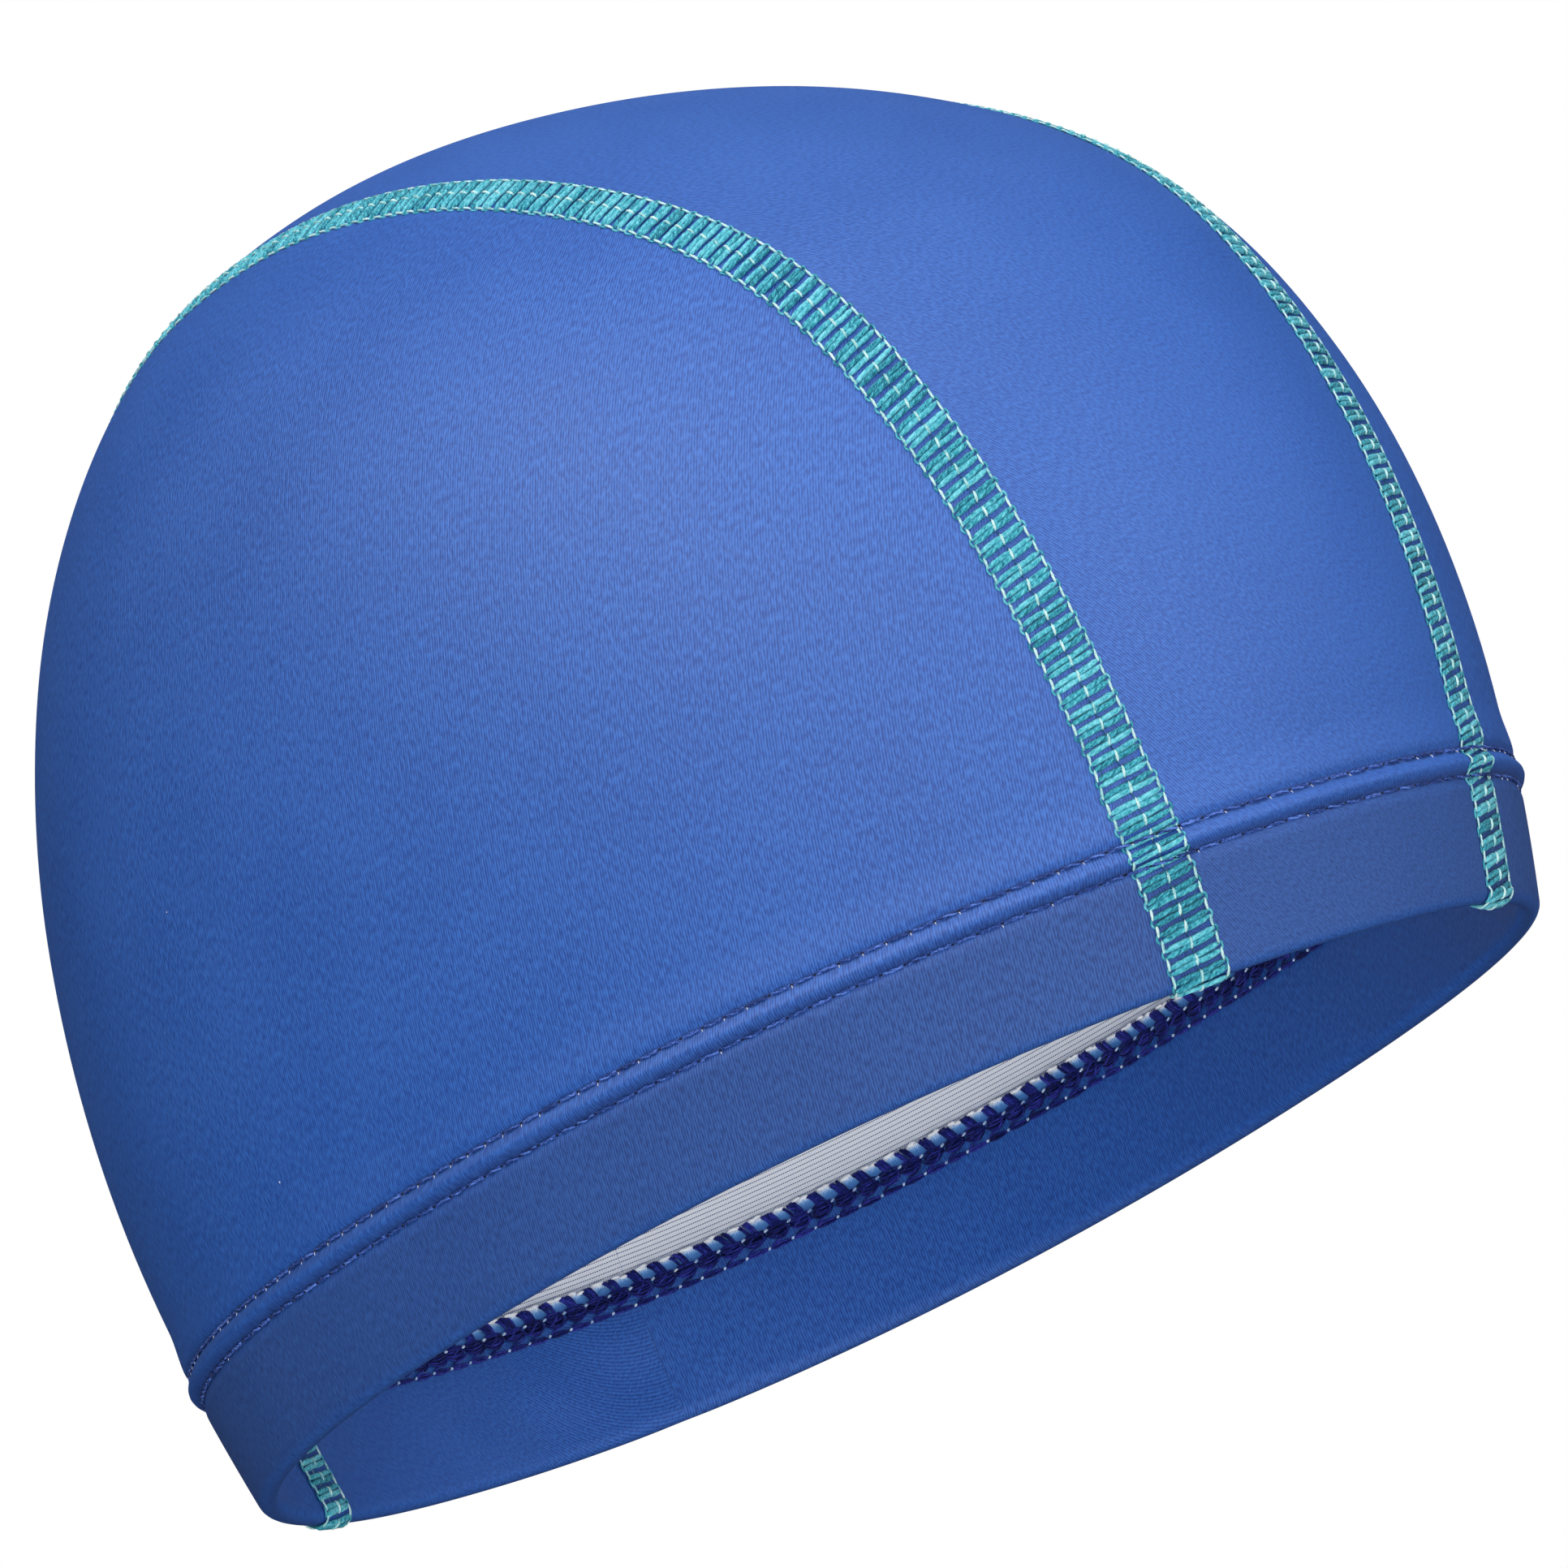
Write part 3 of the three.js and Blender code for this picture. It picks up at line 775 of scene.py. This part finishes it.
def yarn(spine, width, height, sides, twist, taper):
    """A closed thread along a spine of (along, across, above) places on a strip."""
    spine = np.asarray(spine, float)
    rings = len(spine)
    tangent = unit(np.gradient(spine, axis=0))
    aside = unit(np.cross((0.0, 0.02, 1.0), tangent))
    above = np.cross(tangent, aside)
    ends = np.ones(rings)
    ends[[0, -1]] = taper
    angle = 2 * math.pi * np.arange(sides) / sides + twist * np.arange(rings)[:, None]
    ring = (
        spine[:, None]
        + (np.cos(angle) * np.multiply(width, ends)[:, None])[..., None] * aside[:, None]
        + (np.sin(angle) * np.multiply(height, ends)[:, None])[..., None] * above[:, None])
    length = lengths(spine)
    faces, places = [], []
    for i in range(rings - 1):
        for k in range(sides):
            here, there = i * sides, (i + 1) * sides
            faces.append([here + k, here + (k + 1) % sides, there + (k + 1) % sides, there + k])
            left, right = k / sides, (k + 1) / sides
            places += [(left, length[i]), (right, length[i])]
            places += [(right, length[i + 1]), (left, length[i + 1])]
    last = (rings - 1) * sides
    faces += [list(range(sides))[::-1], [last + k for k in range(sides)]]
    places += [(k / sides, 0) for k in range(sides)][::-1]
    places += [(k / sides, length[-1]) for k in range(sides)]
    mesh = bpy.data.meshes.new("thread")
    mesh.from_pydata(ring.reshape(-1, 3).tolist(), [], faces)
    mesh.polygons.foreach_set("use_smooth", np.ones(len(faces), bool))
    mesh.uv_layers.new(name="yarn").data.foreach_set("uv", np.ravel(places).astype(np.float32))
    return bpy.data.objects.new("thread", mesh)


def bowed(start, end, bow, count):
    """A spine from one place to another, bowed sideways and upwards by up to (x, y, z)."""
    t = np.linspace(0, 1, count)[:, None]
    start, end = np.array(start, float), np.array(end, float)
    return start + (end - start) * t + np.array(bow) * np.sin(math.pi * t)


def part(spine, width, height, thread, wander, turn, share=1.0, sides=5, twist=0.0, taper=0.55):
    """One thread of a stitch: its shape, how far it wanders and turns from stitch to stitch,
    and in what share of the stitches it is there."""
    shape = yarn(spine, width, height, sides, twist, taper)
    return {"shape": shape, "thread": thread, "wander": wander, "turn": turn, "share": share}


PART_INPUTS = {
    "shape": "Object", "thread": "Material", "wander": "Vector", "turn": "Float", "share": "Float"}


def stitch_tree(name, parts):
    """A row of stitches along X. Each part is one shape, set out once for every stitch."""
    tree = bpy.data.node_groups.new(name, "GeometryNodeTree")
    inputs = {"Stitches": "Int", "Pitch": "Float", "Seed": "Int"}
    for label in parts:
        inputs.update({label + " " + fact: kind for fact, kind in PART_INPUTS.items()})
    for label, kind in inputs.items():
        tree.interface.new_socket(label, in_out="INPUT", socket_type="NodeSocket" + kind)
    tree.interface.new_socket("Geometry", in_out="OUTPUT", socket_type="NodeSocketGeometry")
    start = Socket(tree)
    given = tree.nodes.new("NodeGroupInput")
    join = tree.nodes.new("GeometryNodeJoinGeometry")

    def value(label):
        return Socket(tree, given.outputs[label])

    def random(kind, seed, *limits):
        first, output = {"FLOAT_VECTOR": (0, 0), "FLOAT": (2, 1), "BOOLEAN": (6, 3)}[kind]
        sockets = {first + k: limit for k, limit in enumerate(limits)}
        sockets["Seed"] = seed
        return start.node("FunctionNodeRandomValue", {"data_type": kind}, sockets, output)

    step = joined(value("Pitch"), 0.0)
    line = start.node(
        "GeometryNodeMeshLine", {}, {"Count": value("Stitches"), "Offset": step})
    for number, label in enumerate(parts):
        seed = value("Seed") + 10.0 * number
        wander = value(label + " wander")
        back = wander.node(
            "ShaderNodeVectorMath", {"operation": "SCALE"}, {"Vector": wander, "Scale": -1.0})
        moved = start.node(
            "GeometryNodeSetPosition", {},
            {"Geometry": line, "Offset": random("FLOAT_VECTOR", seed, back, wander)})
        turn = value(label + " turn")
        spin = random("FLOAT", seed + 1.0, turn * -1.0, turn)
        shape = start.node(
            "GeometryNodeObjectInfo", {}, {"Object": value(label + " shape")}, output="Geometry")
        placed = start.node("GeometryNodeInstanceOnPoints", {}, {
            "Points": moved,
            "Selection": random("BOOLEAN", seed + 2.0, value(label + " share")),
            "Instance": shape,
            "Rotation": joined(0.0, 0.0, spin),
        })
        toned = start.node(
            "GeometryNodeStoreNamedAttribute", {"data_type": "FLOAT", "domain": "INSTANCE"},
            {"Geometry": placed, "Name": "tone", "Value": random("FLOAT", seed + 3.0, 0.0, 1.0)})
        real = start.node("GeometryNodeRealizeInstances", {}, {"Geometry": toned})
        dyed = start.node(
            "GeometryNodeSetMaterial", {}, {"Geometry": real, "Material": value(label + " thread")})
        tree.links.new(dyed.output, join.inputs[0])
    out = tree.nodes.new("NodeGroupOutput")
    tree.links.new(join.outputs[0], out.inputs[0])
    return tree


def stitched(name, tree, parts, stitches, pitch, seed):
    """The realised row of stitches as a plain mesh, still straight and in millimetres."""
    carrier = bpy.data.objects.new(name, bpy.data.meshes.new(name))
    bpy.context.scene.collection.objects.link(carrier)
    modifier = carrier.modifiers.new("stitches", "NODES")
    modifier.node_group = tree
    values = {"Stitches": stitches, "Pitch": pitch, "Seed": seed}
    for label, facts in parts.items():
        values.update({label + " " + fact: facts[fact] for fact in PART_INPUTS})
    for item in tree.interface.items_tree:
        if item.in_out == "INPUT":
            modifier[item.identifier] = values[item.name]
    bpy.context.view_layer.update()
    graph = bpy.context.evaluated_depsgraph_get()
    mesh = bpy.data.meshes.new_from_object(carrier.evaluated_get(graph))
    carrier.modifiers.clear()
    carrier.data = mesh
    return carrier


def lay_down(strip, place):
    """Moves a straight strip's points to where place says that they lie on the cloth."""
    mesh = strip.data
    points = np.zeros(len(mesh.vertices) * 3, np.float32)
    mesh.vertices.foreach_get("co", points)
    laid = place(points.reshape(-1, 3).astype(float)) / 1000
    mesh.vertices.foreach_set("co", laid.ravel().astype(np.float32))
    mesh.update()


turquoise = yarn_material("turquoise_fluffy_thread", TURQUOISE)
mint = yarn_material("mint_chain_thread", MINT, lay=3.0, fluff=0.00003)
deep_teal = yarn_material("deep_teal_thread", DEEP_TEAL, lay=3.0, fluff=0.00002)


def rung_spine(along):
    """A rung's thread, from one needle hole to the other, nipped in where it is caught."""
    across = np.linspace(-BAND_HALF + 0.1, BAND_HALF - 0.1, 9)
    nip = np.exp(-((across / 0.6) ** 2))
    shift = 0.08 * np.tanh(across / 0.4)
    edge = (np.abs(across) / BAND_HALF) ** 6
    above = 0.38 - 0.10 * nip - 0.18 * edge + 0.05 * np.cos(across * 2.1)
    return np.stack([along * (1 - 0.22 * nip) + shift, across, above], -1)


CHAIN_WIDTHS = [0.10, 0.17, 0.19, 0.19, 0.16, 0.10]
EDGE = BAND_HALF - 0.02
BUNDLE_PLAY = ((0.07, 0, 0.02), 0.035)   # how far it wanders and turns
EDGE_PLAY = ((0.05, 0.03, 0), 0.05)
band_parts = {
    "front bundle": part(rung_spine(-0.38), 0.39, 0.33, turquoise, *BUNDLE_PLAY, sides=6),
    "back bundle": part(rung_spine(0.36), 0.38, 0.32, turquoise, *BUNDLE_PLAY, sides=6),
    "left chain": part(
        bowed((0.25, 0.16 - EDGE, 0.40), (1.80, 0.02 - EDGE, 0.38), (0, 0.03, 0.03), 6),
        CHAIN_WIDTHS, 0.13, mint, *EDGE_PLAY, twist=0.5),
    "right chain": part(
        bowed((0.25, EDGE - 0.02, 0.40), (1.80, EDGE - 0.16, 0.38), (0, -0.03, 0.03), 6),
        CHAIN_WIDTHS, 0.13, mint, *EDGE_PLAY, twist=0.5),
    "left loop": part(
        bowed((-0.62, 0.06 - EDGE, 0.22), (0.66, 0.08 - EDGE, 0.24), (0, -0.30, 0.10), 7),
        0.15, 0.13, turquoise, *EDGE_PLAY, twist=0.4),
    "right loop": part(
        bowed((-0.62, EDGE - 0.06, 0.22), (0.66, EDGE - 0.08, 0.24), (0, 0.30, 0.10), 7),
        0.15, 0.13, turquoise, *EDGE_PLAY, twist=0.4),
    "middle stitch": part(
        bowed((-0.72, 0.11, 0.44), (0.68, -0.10, 0.42), (0, 0, 0.26), 6),
        CHAIN_WIDTHS, 0.16, mint, (0.06, 0.04, 0), 0.10, sides=6, twist=0.5),
    "middle thread": part(
        bowed((0.5, -0.08, 0.16), (1.5, 0.08, 0.16), (0, 0, -0.03), 3),
        0.07, 0.06, deep_teal, (0.05, 0.04, 0), 0.04, sides=4),
    "fibre": part(
        bowed((-0.7, 0.1, 0.0), (0.8, 0.5, 0.35), (0, 0.3, 0.35), 4),
        0.022, 0.022, turquoise, (0.9, 3.2, 0.1), 3.1, share=0.4, sides=3),
}
band_tree = stitch_tree("flatlock_band", band_parts)


def seam_rails(side, wraps_at_back):
    """The surface that a seam lies on: points and outward directions, on five rails."""
    sign = SIDES[side]
    asides = np.linspace(-RAIL_REACH, RAIL_REACH, 5) * -sign
    inner = np.linspace(BAND_INNER_END, FOLD_RADIUS + 0.3, 12)
    curl = np.linspace(math.pi, 0, 15)
    wall = np.linspace(FOLD_RADIUS + 0.3, HEM_SWELL_ENDS, 40)
    kinds = np.repeat([0, 1, 2], [len(inner), len(curl), len(wall)])
    heights = np.concatenate([inner, FOLD_RADIUS * (1 - np.sin(curl)), wall])
    bend = np.concatenate([np.full(len(inner), math.pi), curl, np.zeros(len(wall))])

    def end(at_back):
        level = np.repeat(heights[:, None], len(asides), 1)
        turn = turn_reaching(
            level, lambda angle: seam_half_width(side, angle) + asides * 0.97, at_back)
        lift = lift_at(turn, level)
        base, out = dome(lift, turn), outward(lift, turn)
        down = unit(dome(0 * turn, turn) - dome(0 * turn + 0.02, turn))
        around = bend[:, None, None]
        normal = np.cos(around) * out + np.sin(around) * down
        depth = FOLD_RADIUS * (1 - np.cos(bend))
        stand = np.where(kinds == 2, relief(heights) - SEAM_DIP, HEM_SWELL)[:, None]
        return base + out * (stand - depth[:, None])[..., None], normal, lift, turn

    front_points, front_normals, front_lift, front_turn = end(False)
    back_points, back_normals, back_lift, back_turn = end(True)
    low = seam_angle(dome(front_lift[-1], front_turn[-1]))
    high = seam_angle(dome(back_lift[-1], back_turn[-1]))
    angle = low + (high - low) * np.linspace(0, 1, 222)[1:-1, None]
    middle = seam_half_width(side, angle)
    lean = outward(*on_dome(angle[:, 2:3], middle[:, 2:3]))[..., 0]
    lift, turn = on_dome(angle, middle + asides * np.sqrt(1 - lean ** 2))
    out = outward(lift, turn)
    crown = dome(lift, turn) + out * (relief(height_at(turn, lift)) - SEAM_DIP)[..., None]
    if not wraps_at_back:
        keep = kinds == 2
        back_points, back_normals = back_points[keep], back_normals[keep]
    points = np.concatenate([front_points, crown, back_points[::-1]])
    normals = np.concatenate([front_normals, out, back_normals[::-1]])
    points[..., 0] *= sign
    normals[..., 0] *= sign
    return points, normals


for side, wraps_at_back in (("right", True), ("left", False)):
    points, normals = seam_rails(side, wraps_at_back)
    gone = lengths(points[:, 2])
    stitches = int((gone[-1] - 1.0) / RUNG_PITCH)

    def on_seam(local):
        slanted = local[:, 0] - RUNG_SLANT[side] * local[:, 1]
        row = np.interp(slanted + RUNG_PITCH / 2, gone, np.arange(len(gone)))
        column = np.clip((local[:, 1] / RAIL_REACH + 1) * 2, 0, 4)
        normal = unit(between(normals, row, column))
        return between(points, row, column) + normal * local[:, 2:]

    band = stitched(
        side + "_flatlock_stitches", band_tree, band_parts, stitches, RUNG_PITCH, SEAM_SEEDS[side])
    lay_down(band, on_seam)
    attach(band, "root")
    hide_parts(side + "_flatlock_seam")


# The hem's needle rows. Two rows of twisted blue thread hold the folded edge down. Each
# stitch dives into a needle hole, where the white of the pierced coating shows beside it.
STITCH_PITCH = 3.1
ROW_SEEDS = (31, 47)
SPECK_SHARES = (0.15, 0.75)
CROSSING_RISE = 0.5          # how far a row climbs to pass over a seam's band
# Dark, middle and light as for the other threads: painted shade, own colour, painted highlight.
ROW_BLUE = ((0.002, 0.007, 0.05), (0.014, 0.055, 0.29), (0.130, 0.260, 0.76))
# Painted shade that stands in for the inside of a needle hole, which is drawn as a small dark disc
# on the cloth.
HOLE_PAINTED_SHADE = (0.003, 0.008, 0.035)
PIERCED_WHITE = (0.88, 0.90, 0.95)

row_thread = yarn_material("blue_row_thread", ROW_BLUE, lay=3.5, fluff=0.00002, roughness=0.6)


def plain_material(name, light, dark, scale, roughness):
    material, start = new_material(name)
    body = start.node("ShaderNodeTexCoord", {}, {}, output="Object")
    grain = body.noise(scale, 2.0)
    finish_material(start, grain.mixed(dark, light), roughness, grain, 0.00003)
    return material


needle_hole_painted_shade = plain_material("needle_hole_painted_shade", HOLE_PAINTED_SHADE, (0.001, 0.001, 0.004), 4000.0, 1.0)
pierced_edge = plain_material("pierced_coating", PIERCED_WHITE, (0.42, 0.45, 0.60), 6000.0, 0.9)


def ply(phase):
    """One of the two plies of a stitch, winding round the other and down at both ends."""
    along = np.linspace(-1.36, 1.36, 10)
    wind = along / 1.36 * 3.6 + phase
    sink = 0.34 * (np.abs(along) / 1.36) ** 5
    return np.stack([along, 0.10 * np.cos(wind), 0.24 + 0.09 * np.sin(wind) - sink], -1)


def row_parts(specks):
    half = STITCH_PITCH / 2
    play = ((0.04, 0.03, 0), 0.03)
    return {
        "first ply": part(ply(0.0), 0.13, 0.12, row_thread, *play),
        "second ply": part(ply(math.pi), 0.13, 0.12, row_thread, *play),
        # A small dark disc at each stitch's end: painted shade of the needle hole.
        "hole": part(
            bowed((half - 0.19, 0, 0), (half + 0.19, 0, 0), (0, 0, 0.02), 4),
            0.12, 0.04, needle_hole_painted_shade, (0.04, 0.03, 0), 0.02, sides=6),
        "speck": part(
            bowed((half - 0.02, -0.10, 0.05), (half + 0.06, -0.42, 0.05), (0.02, 0, 0.05), 4),
            0.065, 0.06, pierced_edge, (0.06, 0.05, 0.01), 0.02, share=specks),
    }


def above_dome(turn, height, above):
    """The places that stand so far above the dome, at turns to either side of the front."""
    lift = lift_at(turn, height)
    laid = dome(lift, np.abs(turn)) + outward(lift, np.abs(turn)) * above[:, None]
    laid[:, 0] *= np.where(turn < 0, -1, 1)
    return laid


def rim_run(height, above):
    """How far along a line of one height lies from the middle of the back, for each turn."""
    turns = np.linspace(-math.pi, math.pi, 1441)
    return lengths(above_dome(turns, height, np.full(len(turns), above))), turns


def rise_over_seams(turn, height):
    """How far a row stands up at a place, to pass over the seams' bands."""
    point = dome(lift_at(turn, height), np.abs(turn))
    rise = 0.0
    for side, sign in SIDES.items():
        aside = point[..., 0] - seam_half_width(side, seam_angle(point))
        near = np.exp(-((aside / 3.4) ** 6))
        rise = rise + np.where(turn * sign > 0, near, 0) * CROSSING_RISE
    return rise


row_tree = stitch_tree("needle_row", row_parts(1.0))
for row, seed, specks in zip(NEEDLE_ROWS, ROW_SEEDS, SPECK_SHARES):
    run, turns = rim_run(row, 0.0)
    stitches = round(run[-1] / STITCH_PITCH)

    def on_row(local):
        turn = np.interp(np.mod(local[:, 0], run[-1]), run, turns)
        height = row + local[:, 1]
        above = relief(height) + local[:, 2] + rise_over_seams(turn, height)
        return above_dome(turn, height, above)

    strip = stitched(
        "needle_row_" + ("lower" if row == NEEDLE_ROWS[0] else "upper"),
        row_tree, row_parts(specks), stitches, run[-1] / stitches, seed)
    lay_down(strip, on_row)
    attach(strip, "root")


# The looper stitching. Inside, the two needle rows catch a broad band of fluffy navy loops
# that cover the hem's raw edge: leaves of a few strands from knot to knot, teeth that slant
# up over the edge, a chain along the bottom, and pale knots of the needle thread.
# As above, dark and light are painted shade and painted highlight. NAVY_SHADE is the navy painted
# as if in shade, for the beds under the strands.
NAVY = ((0.0005, 0.003, 0.045), (0.004, 0.012, 0.165), (0.040, 0.048, 0.44))
NAVY_SHADE = ((0.0003, 0.001, 0.02), (0.001, 0.004, 0.06), (0.004, 0.012, 0.13))
KNOT_BLUE = ((0.16, 0.30, 0.60), (0.45, 0.62, 0.90), (0.75, 0.86, 0.99))
FLUFF_WHITE = (1.0, 1.0, 1.0)
UPPER = 3.0                  # the upper knots' height above the lower needle row
LOWER = 0.7                  # the lower knots' height
RAW_EDGE = HEM_DEPTH - NEEDLE_ROWS[0]
LOOPER_SEED = 61

navy = yarn_material("navy_fluffy_thread", NAVY, lay=2.2, fluff=0.00010)
navy_painted_shade_bed = yarn_material("navy_thread_painted_shade", NAVY_SHADE, lay=1.6, fluff=0.00006)
knot_blue = yarn_material("pale_blue_knots", KNOT_BLUE, lay=2.0, fluff=0.00002)
fluff_white = plain_material("white_edge_fluff", FLUFF_WHITE, (0.80, 0.85, 0.95), 5000.0, 0.95)

STRAND = [0.09, 0.15, 0.165, 0.165, 0.15, 0.09]
HOOK = [0.09, 0.14, 0.16, 0.16, 0.14, 0.09]
CHAIN = [0.10, 0.16, 0.18, 0.18, 0.16, 0.10]
TOOTH = [0.14, 0.21, 0.24, 0.25, 0.25, 0.22, 0.14]
TOOTH_STRANDS = (            # foot and tip along the band, and lift
    (1.15, 0.10, 0.36), (1.42, 0.40, 0.48), (1.70, 0.72, 0.52), (1.98, 1.02, 0.46),
    (2.22, 1.28, 0.34),
)
LEAF_STRANDS = (             # start, bulge from the upper knots' line, end, and lift
    (0.08, 0.34, 3.05, 0.40), (0.12, 0.04, 3.02, 0.48), (0.16, -0.34, 2.98, 0.50),
    (0.20, -0.74, 2.92, 0.46), (-0.10, -1.10, 3.15, 0.38), (-0.15, -1.42, 3.20, 0.30),
)


def strand(level, places, wander, turn, width=STRAND, height=0.15):
    """A strand of the navy thread through a few places, evenly rounded between them. The
    places' heights are from a level, such as a row of knots."""
    places = np.array(places, float) + (0, level, 0)
    at = np.linspace(0, len(places) - 1, len(width))
    spine = np.stack([smooth_table(places[:, k], 0, 1, at) for k in range(3)], -1)
    return part(spine, width, height, navy, wander, turn, sides=4, twist=0.3, taper=0.6)


loop_parts = {}
for number, (foot, tip, lift) in enumerate(TOOTH_STRANDS, 1):
    loop_parts["tooth %d" % number] = strand(0, [
        (foot, UPPER + 0.15, 0.22), ((foot * 2 + tip) / 3, UPPER + 0.75, lift),
        ((foot + tip * 2) / 3, UPPER + 1.33, lift + 0.04), (tip, RAW_EDGE - 0.14, 0.26),
        (tip - 0.12, RAW_EDGE, -0.2), (tip - 0.05, RAW_EDGE - 0.1, -0.6),
    ], (0.10, 0.10, 0.07), 0.04, TOOTH, 0.20)
# The leaf bed is a broad dark piece of navy painted as in shade, filling the gaps under the leaves.
loop_parts["leaf bed"] = part(
    bowed((0.1, UPPER - 0.25, 0.06), (3.0, UPPER - 0.25, 0.06), (0, -0.45, 0.05), 6),
    [0.15, 0.62, 0.86, 0.84, 0.60, 0.15], 0.10, navy_painted_shade_bed, (0.04, 0.05, 0.01), 0.03, sides=6)
for number, (start, bulge, end, lift) in enumerate(LEAF_STRANDS, 1):
    loop_parts["leaf %d" % number] = strand(UPPER, [
        (start, bulge * 0.52, 0.24), (0.95, bulge, lift), (2.05, bulge * 0.94, lift),
        (end, bulge * 0.46, 0.26),
    ], (0.09, 0.08, 0.05), 0.05)
loop_parts.update({
    "leaf hook": strand(UPPER, [
        (2.30, 0.10, 0.50), (2.72, -0.35, 0.58), (2.62, -0.95, 0.56), (2.15, -1.40, 0.44),
        (1.50, -1.62, 0.28),
    ], (0.12, 0.10, 0.04), 0.10, HOOK),
    "crossing strand": strand(UPPER, [
        (0.35, -0.95, 0.46), (0.95, -0.72, 0.62), (1.60, -0.20, 0.62), (2.10, 0.18, 0.46),
    ], (0.20, 0.12, 0.04), 0.10),
    "rising strand": strand(LOWER, [
        (0.05, 0.10, 0.22), (0.60, 0.42, 0.30), (1.20, 0.66, 0.30), (1.90, 0.74, 0.24),
    ], (0.10, 0.08, 0.03), 0.06),
    # The chain bed is likewise navy painted as in shade, under the chain.
    "chain bed": part(
        bowed((-0.1, LOWER, 0.06), (2.9, LOWER, 0.06), (0, 0, 0.04), 5),
        [0.12, 0.26, 0.30, 0.26, 0.12], 0.08, navy_painted_shade_bed, (0.04, 0.03, 0), 0.02),
    "upper chain": strand(LOWER, [
        (-0.15, 0, 0.20), (0.80, 0.16, 0.30), (1.95, 0.16, 0.30), (2.85, 0, 0.20),
    ], (0.05, 0.05, 0.02), 0.02, CHAIN, 0.16),
    "lower chain": strand(LOWER, [
        (-0.15, -0.04, 0.20), (0.85, -0.17, 0.28), (1.90, -0.17, 0.28), (2.85, -0.04, 0.20),
    ], (0.05, 0.05, 0.02), 0.02, CHAIN, 0.16),
    "upper knot": part(
        bowed((-0.26, UPPER - 0.12, 0.44), (0.26, UPPER + 0.12, 0.44), (0, 0, 0.16), 5),
        [0.13, 0.20, 0.16, 0.20, 0.13], 0.16, knot_blue, (0.06, 0.05, 0.02), 0.06),
    "lower knot": part(
        bowed((-0.30, LOWER - 0.08, 0.32), (0.04, LOWER + 0.12, 0.34), (0, 0, 0.14), 4),
        [0.12, 0.19, 0.18, 0.12], 0.16, knot_blue, (0.06, 0.05, 0.02), 0.06),
    "edge fluff": part(
        bowed((1.45, RAW_EDGE, 0.16), (2.6, RAW_EDGE - 0.03, 0.18), (0, 0.06, 0.05), 5),
        [0.12, 0.27, 0.20, 0.28, 0.12], 0.20, fluff_white, (0.25, 0.08, 0.05), 0.06),
    "second fluff": part(
        bowed((2.2, RAW_EDGE - 0.04, 0.14), (3.35, RAW_EDGE, 0.16), (0, 0.04, 0.05), 5),
        [0.12, 0.22, 0.26, 0.20, 0.12], 0.20, fluff_white, (0.25, 0.09, 0.05), 0.06),
    "stray fibre": part(
        bowed((-0.9, 1.6, 0.3), (0.8, 2.2, 0.5), (0, 0.5, 0.35), 4),
        0.025, 0.025, navy, (1.4, 1.8, 0.1), 0.8, share=0.8, sides=3),
})
loop_tree = stitch_tree("looper_band", loop_parts)
run, turns = rim_run(NEEDLE_ROWS[0] + UPPER, -HEM_THICK)
stitches = round(run[-1] / STITCH_PITCH)


def on_hem_inside(local):
    turn = -np.interp(np.mod(local[:, 0], run[-1]), run, turns)
    height = NEEDLE_ROWS[0] + local[:, 1]
    above = relief(height, -INNER_PINCH) - HEM_THICK - local[:, 2]
    return above_dome(turn, height, above)


looper = stitched(
    "hem_looper_loops", loop_tree, loop_parts, stitches, run[-1] / stitches, LOOPER_SEED)
lay_down(looper, on_hem_inside)
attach(looper, "root")
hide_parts("hem_looper_stitching")
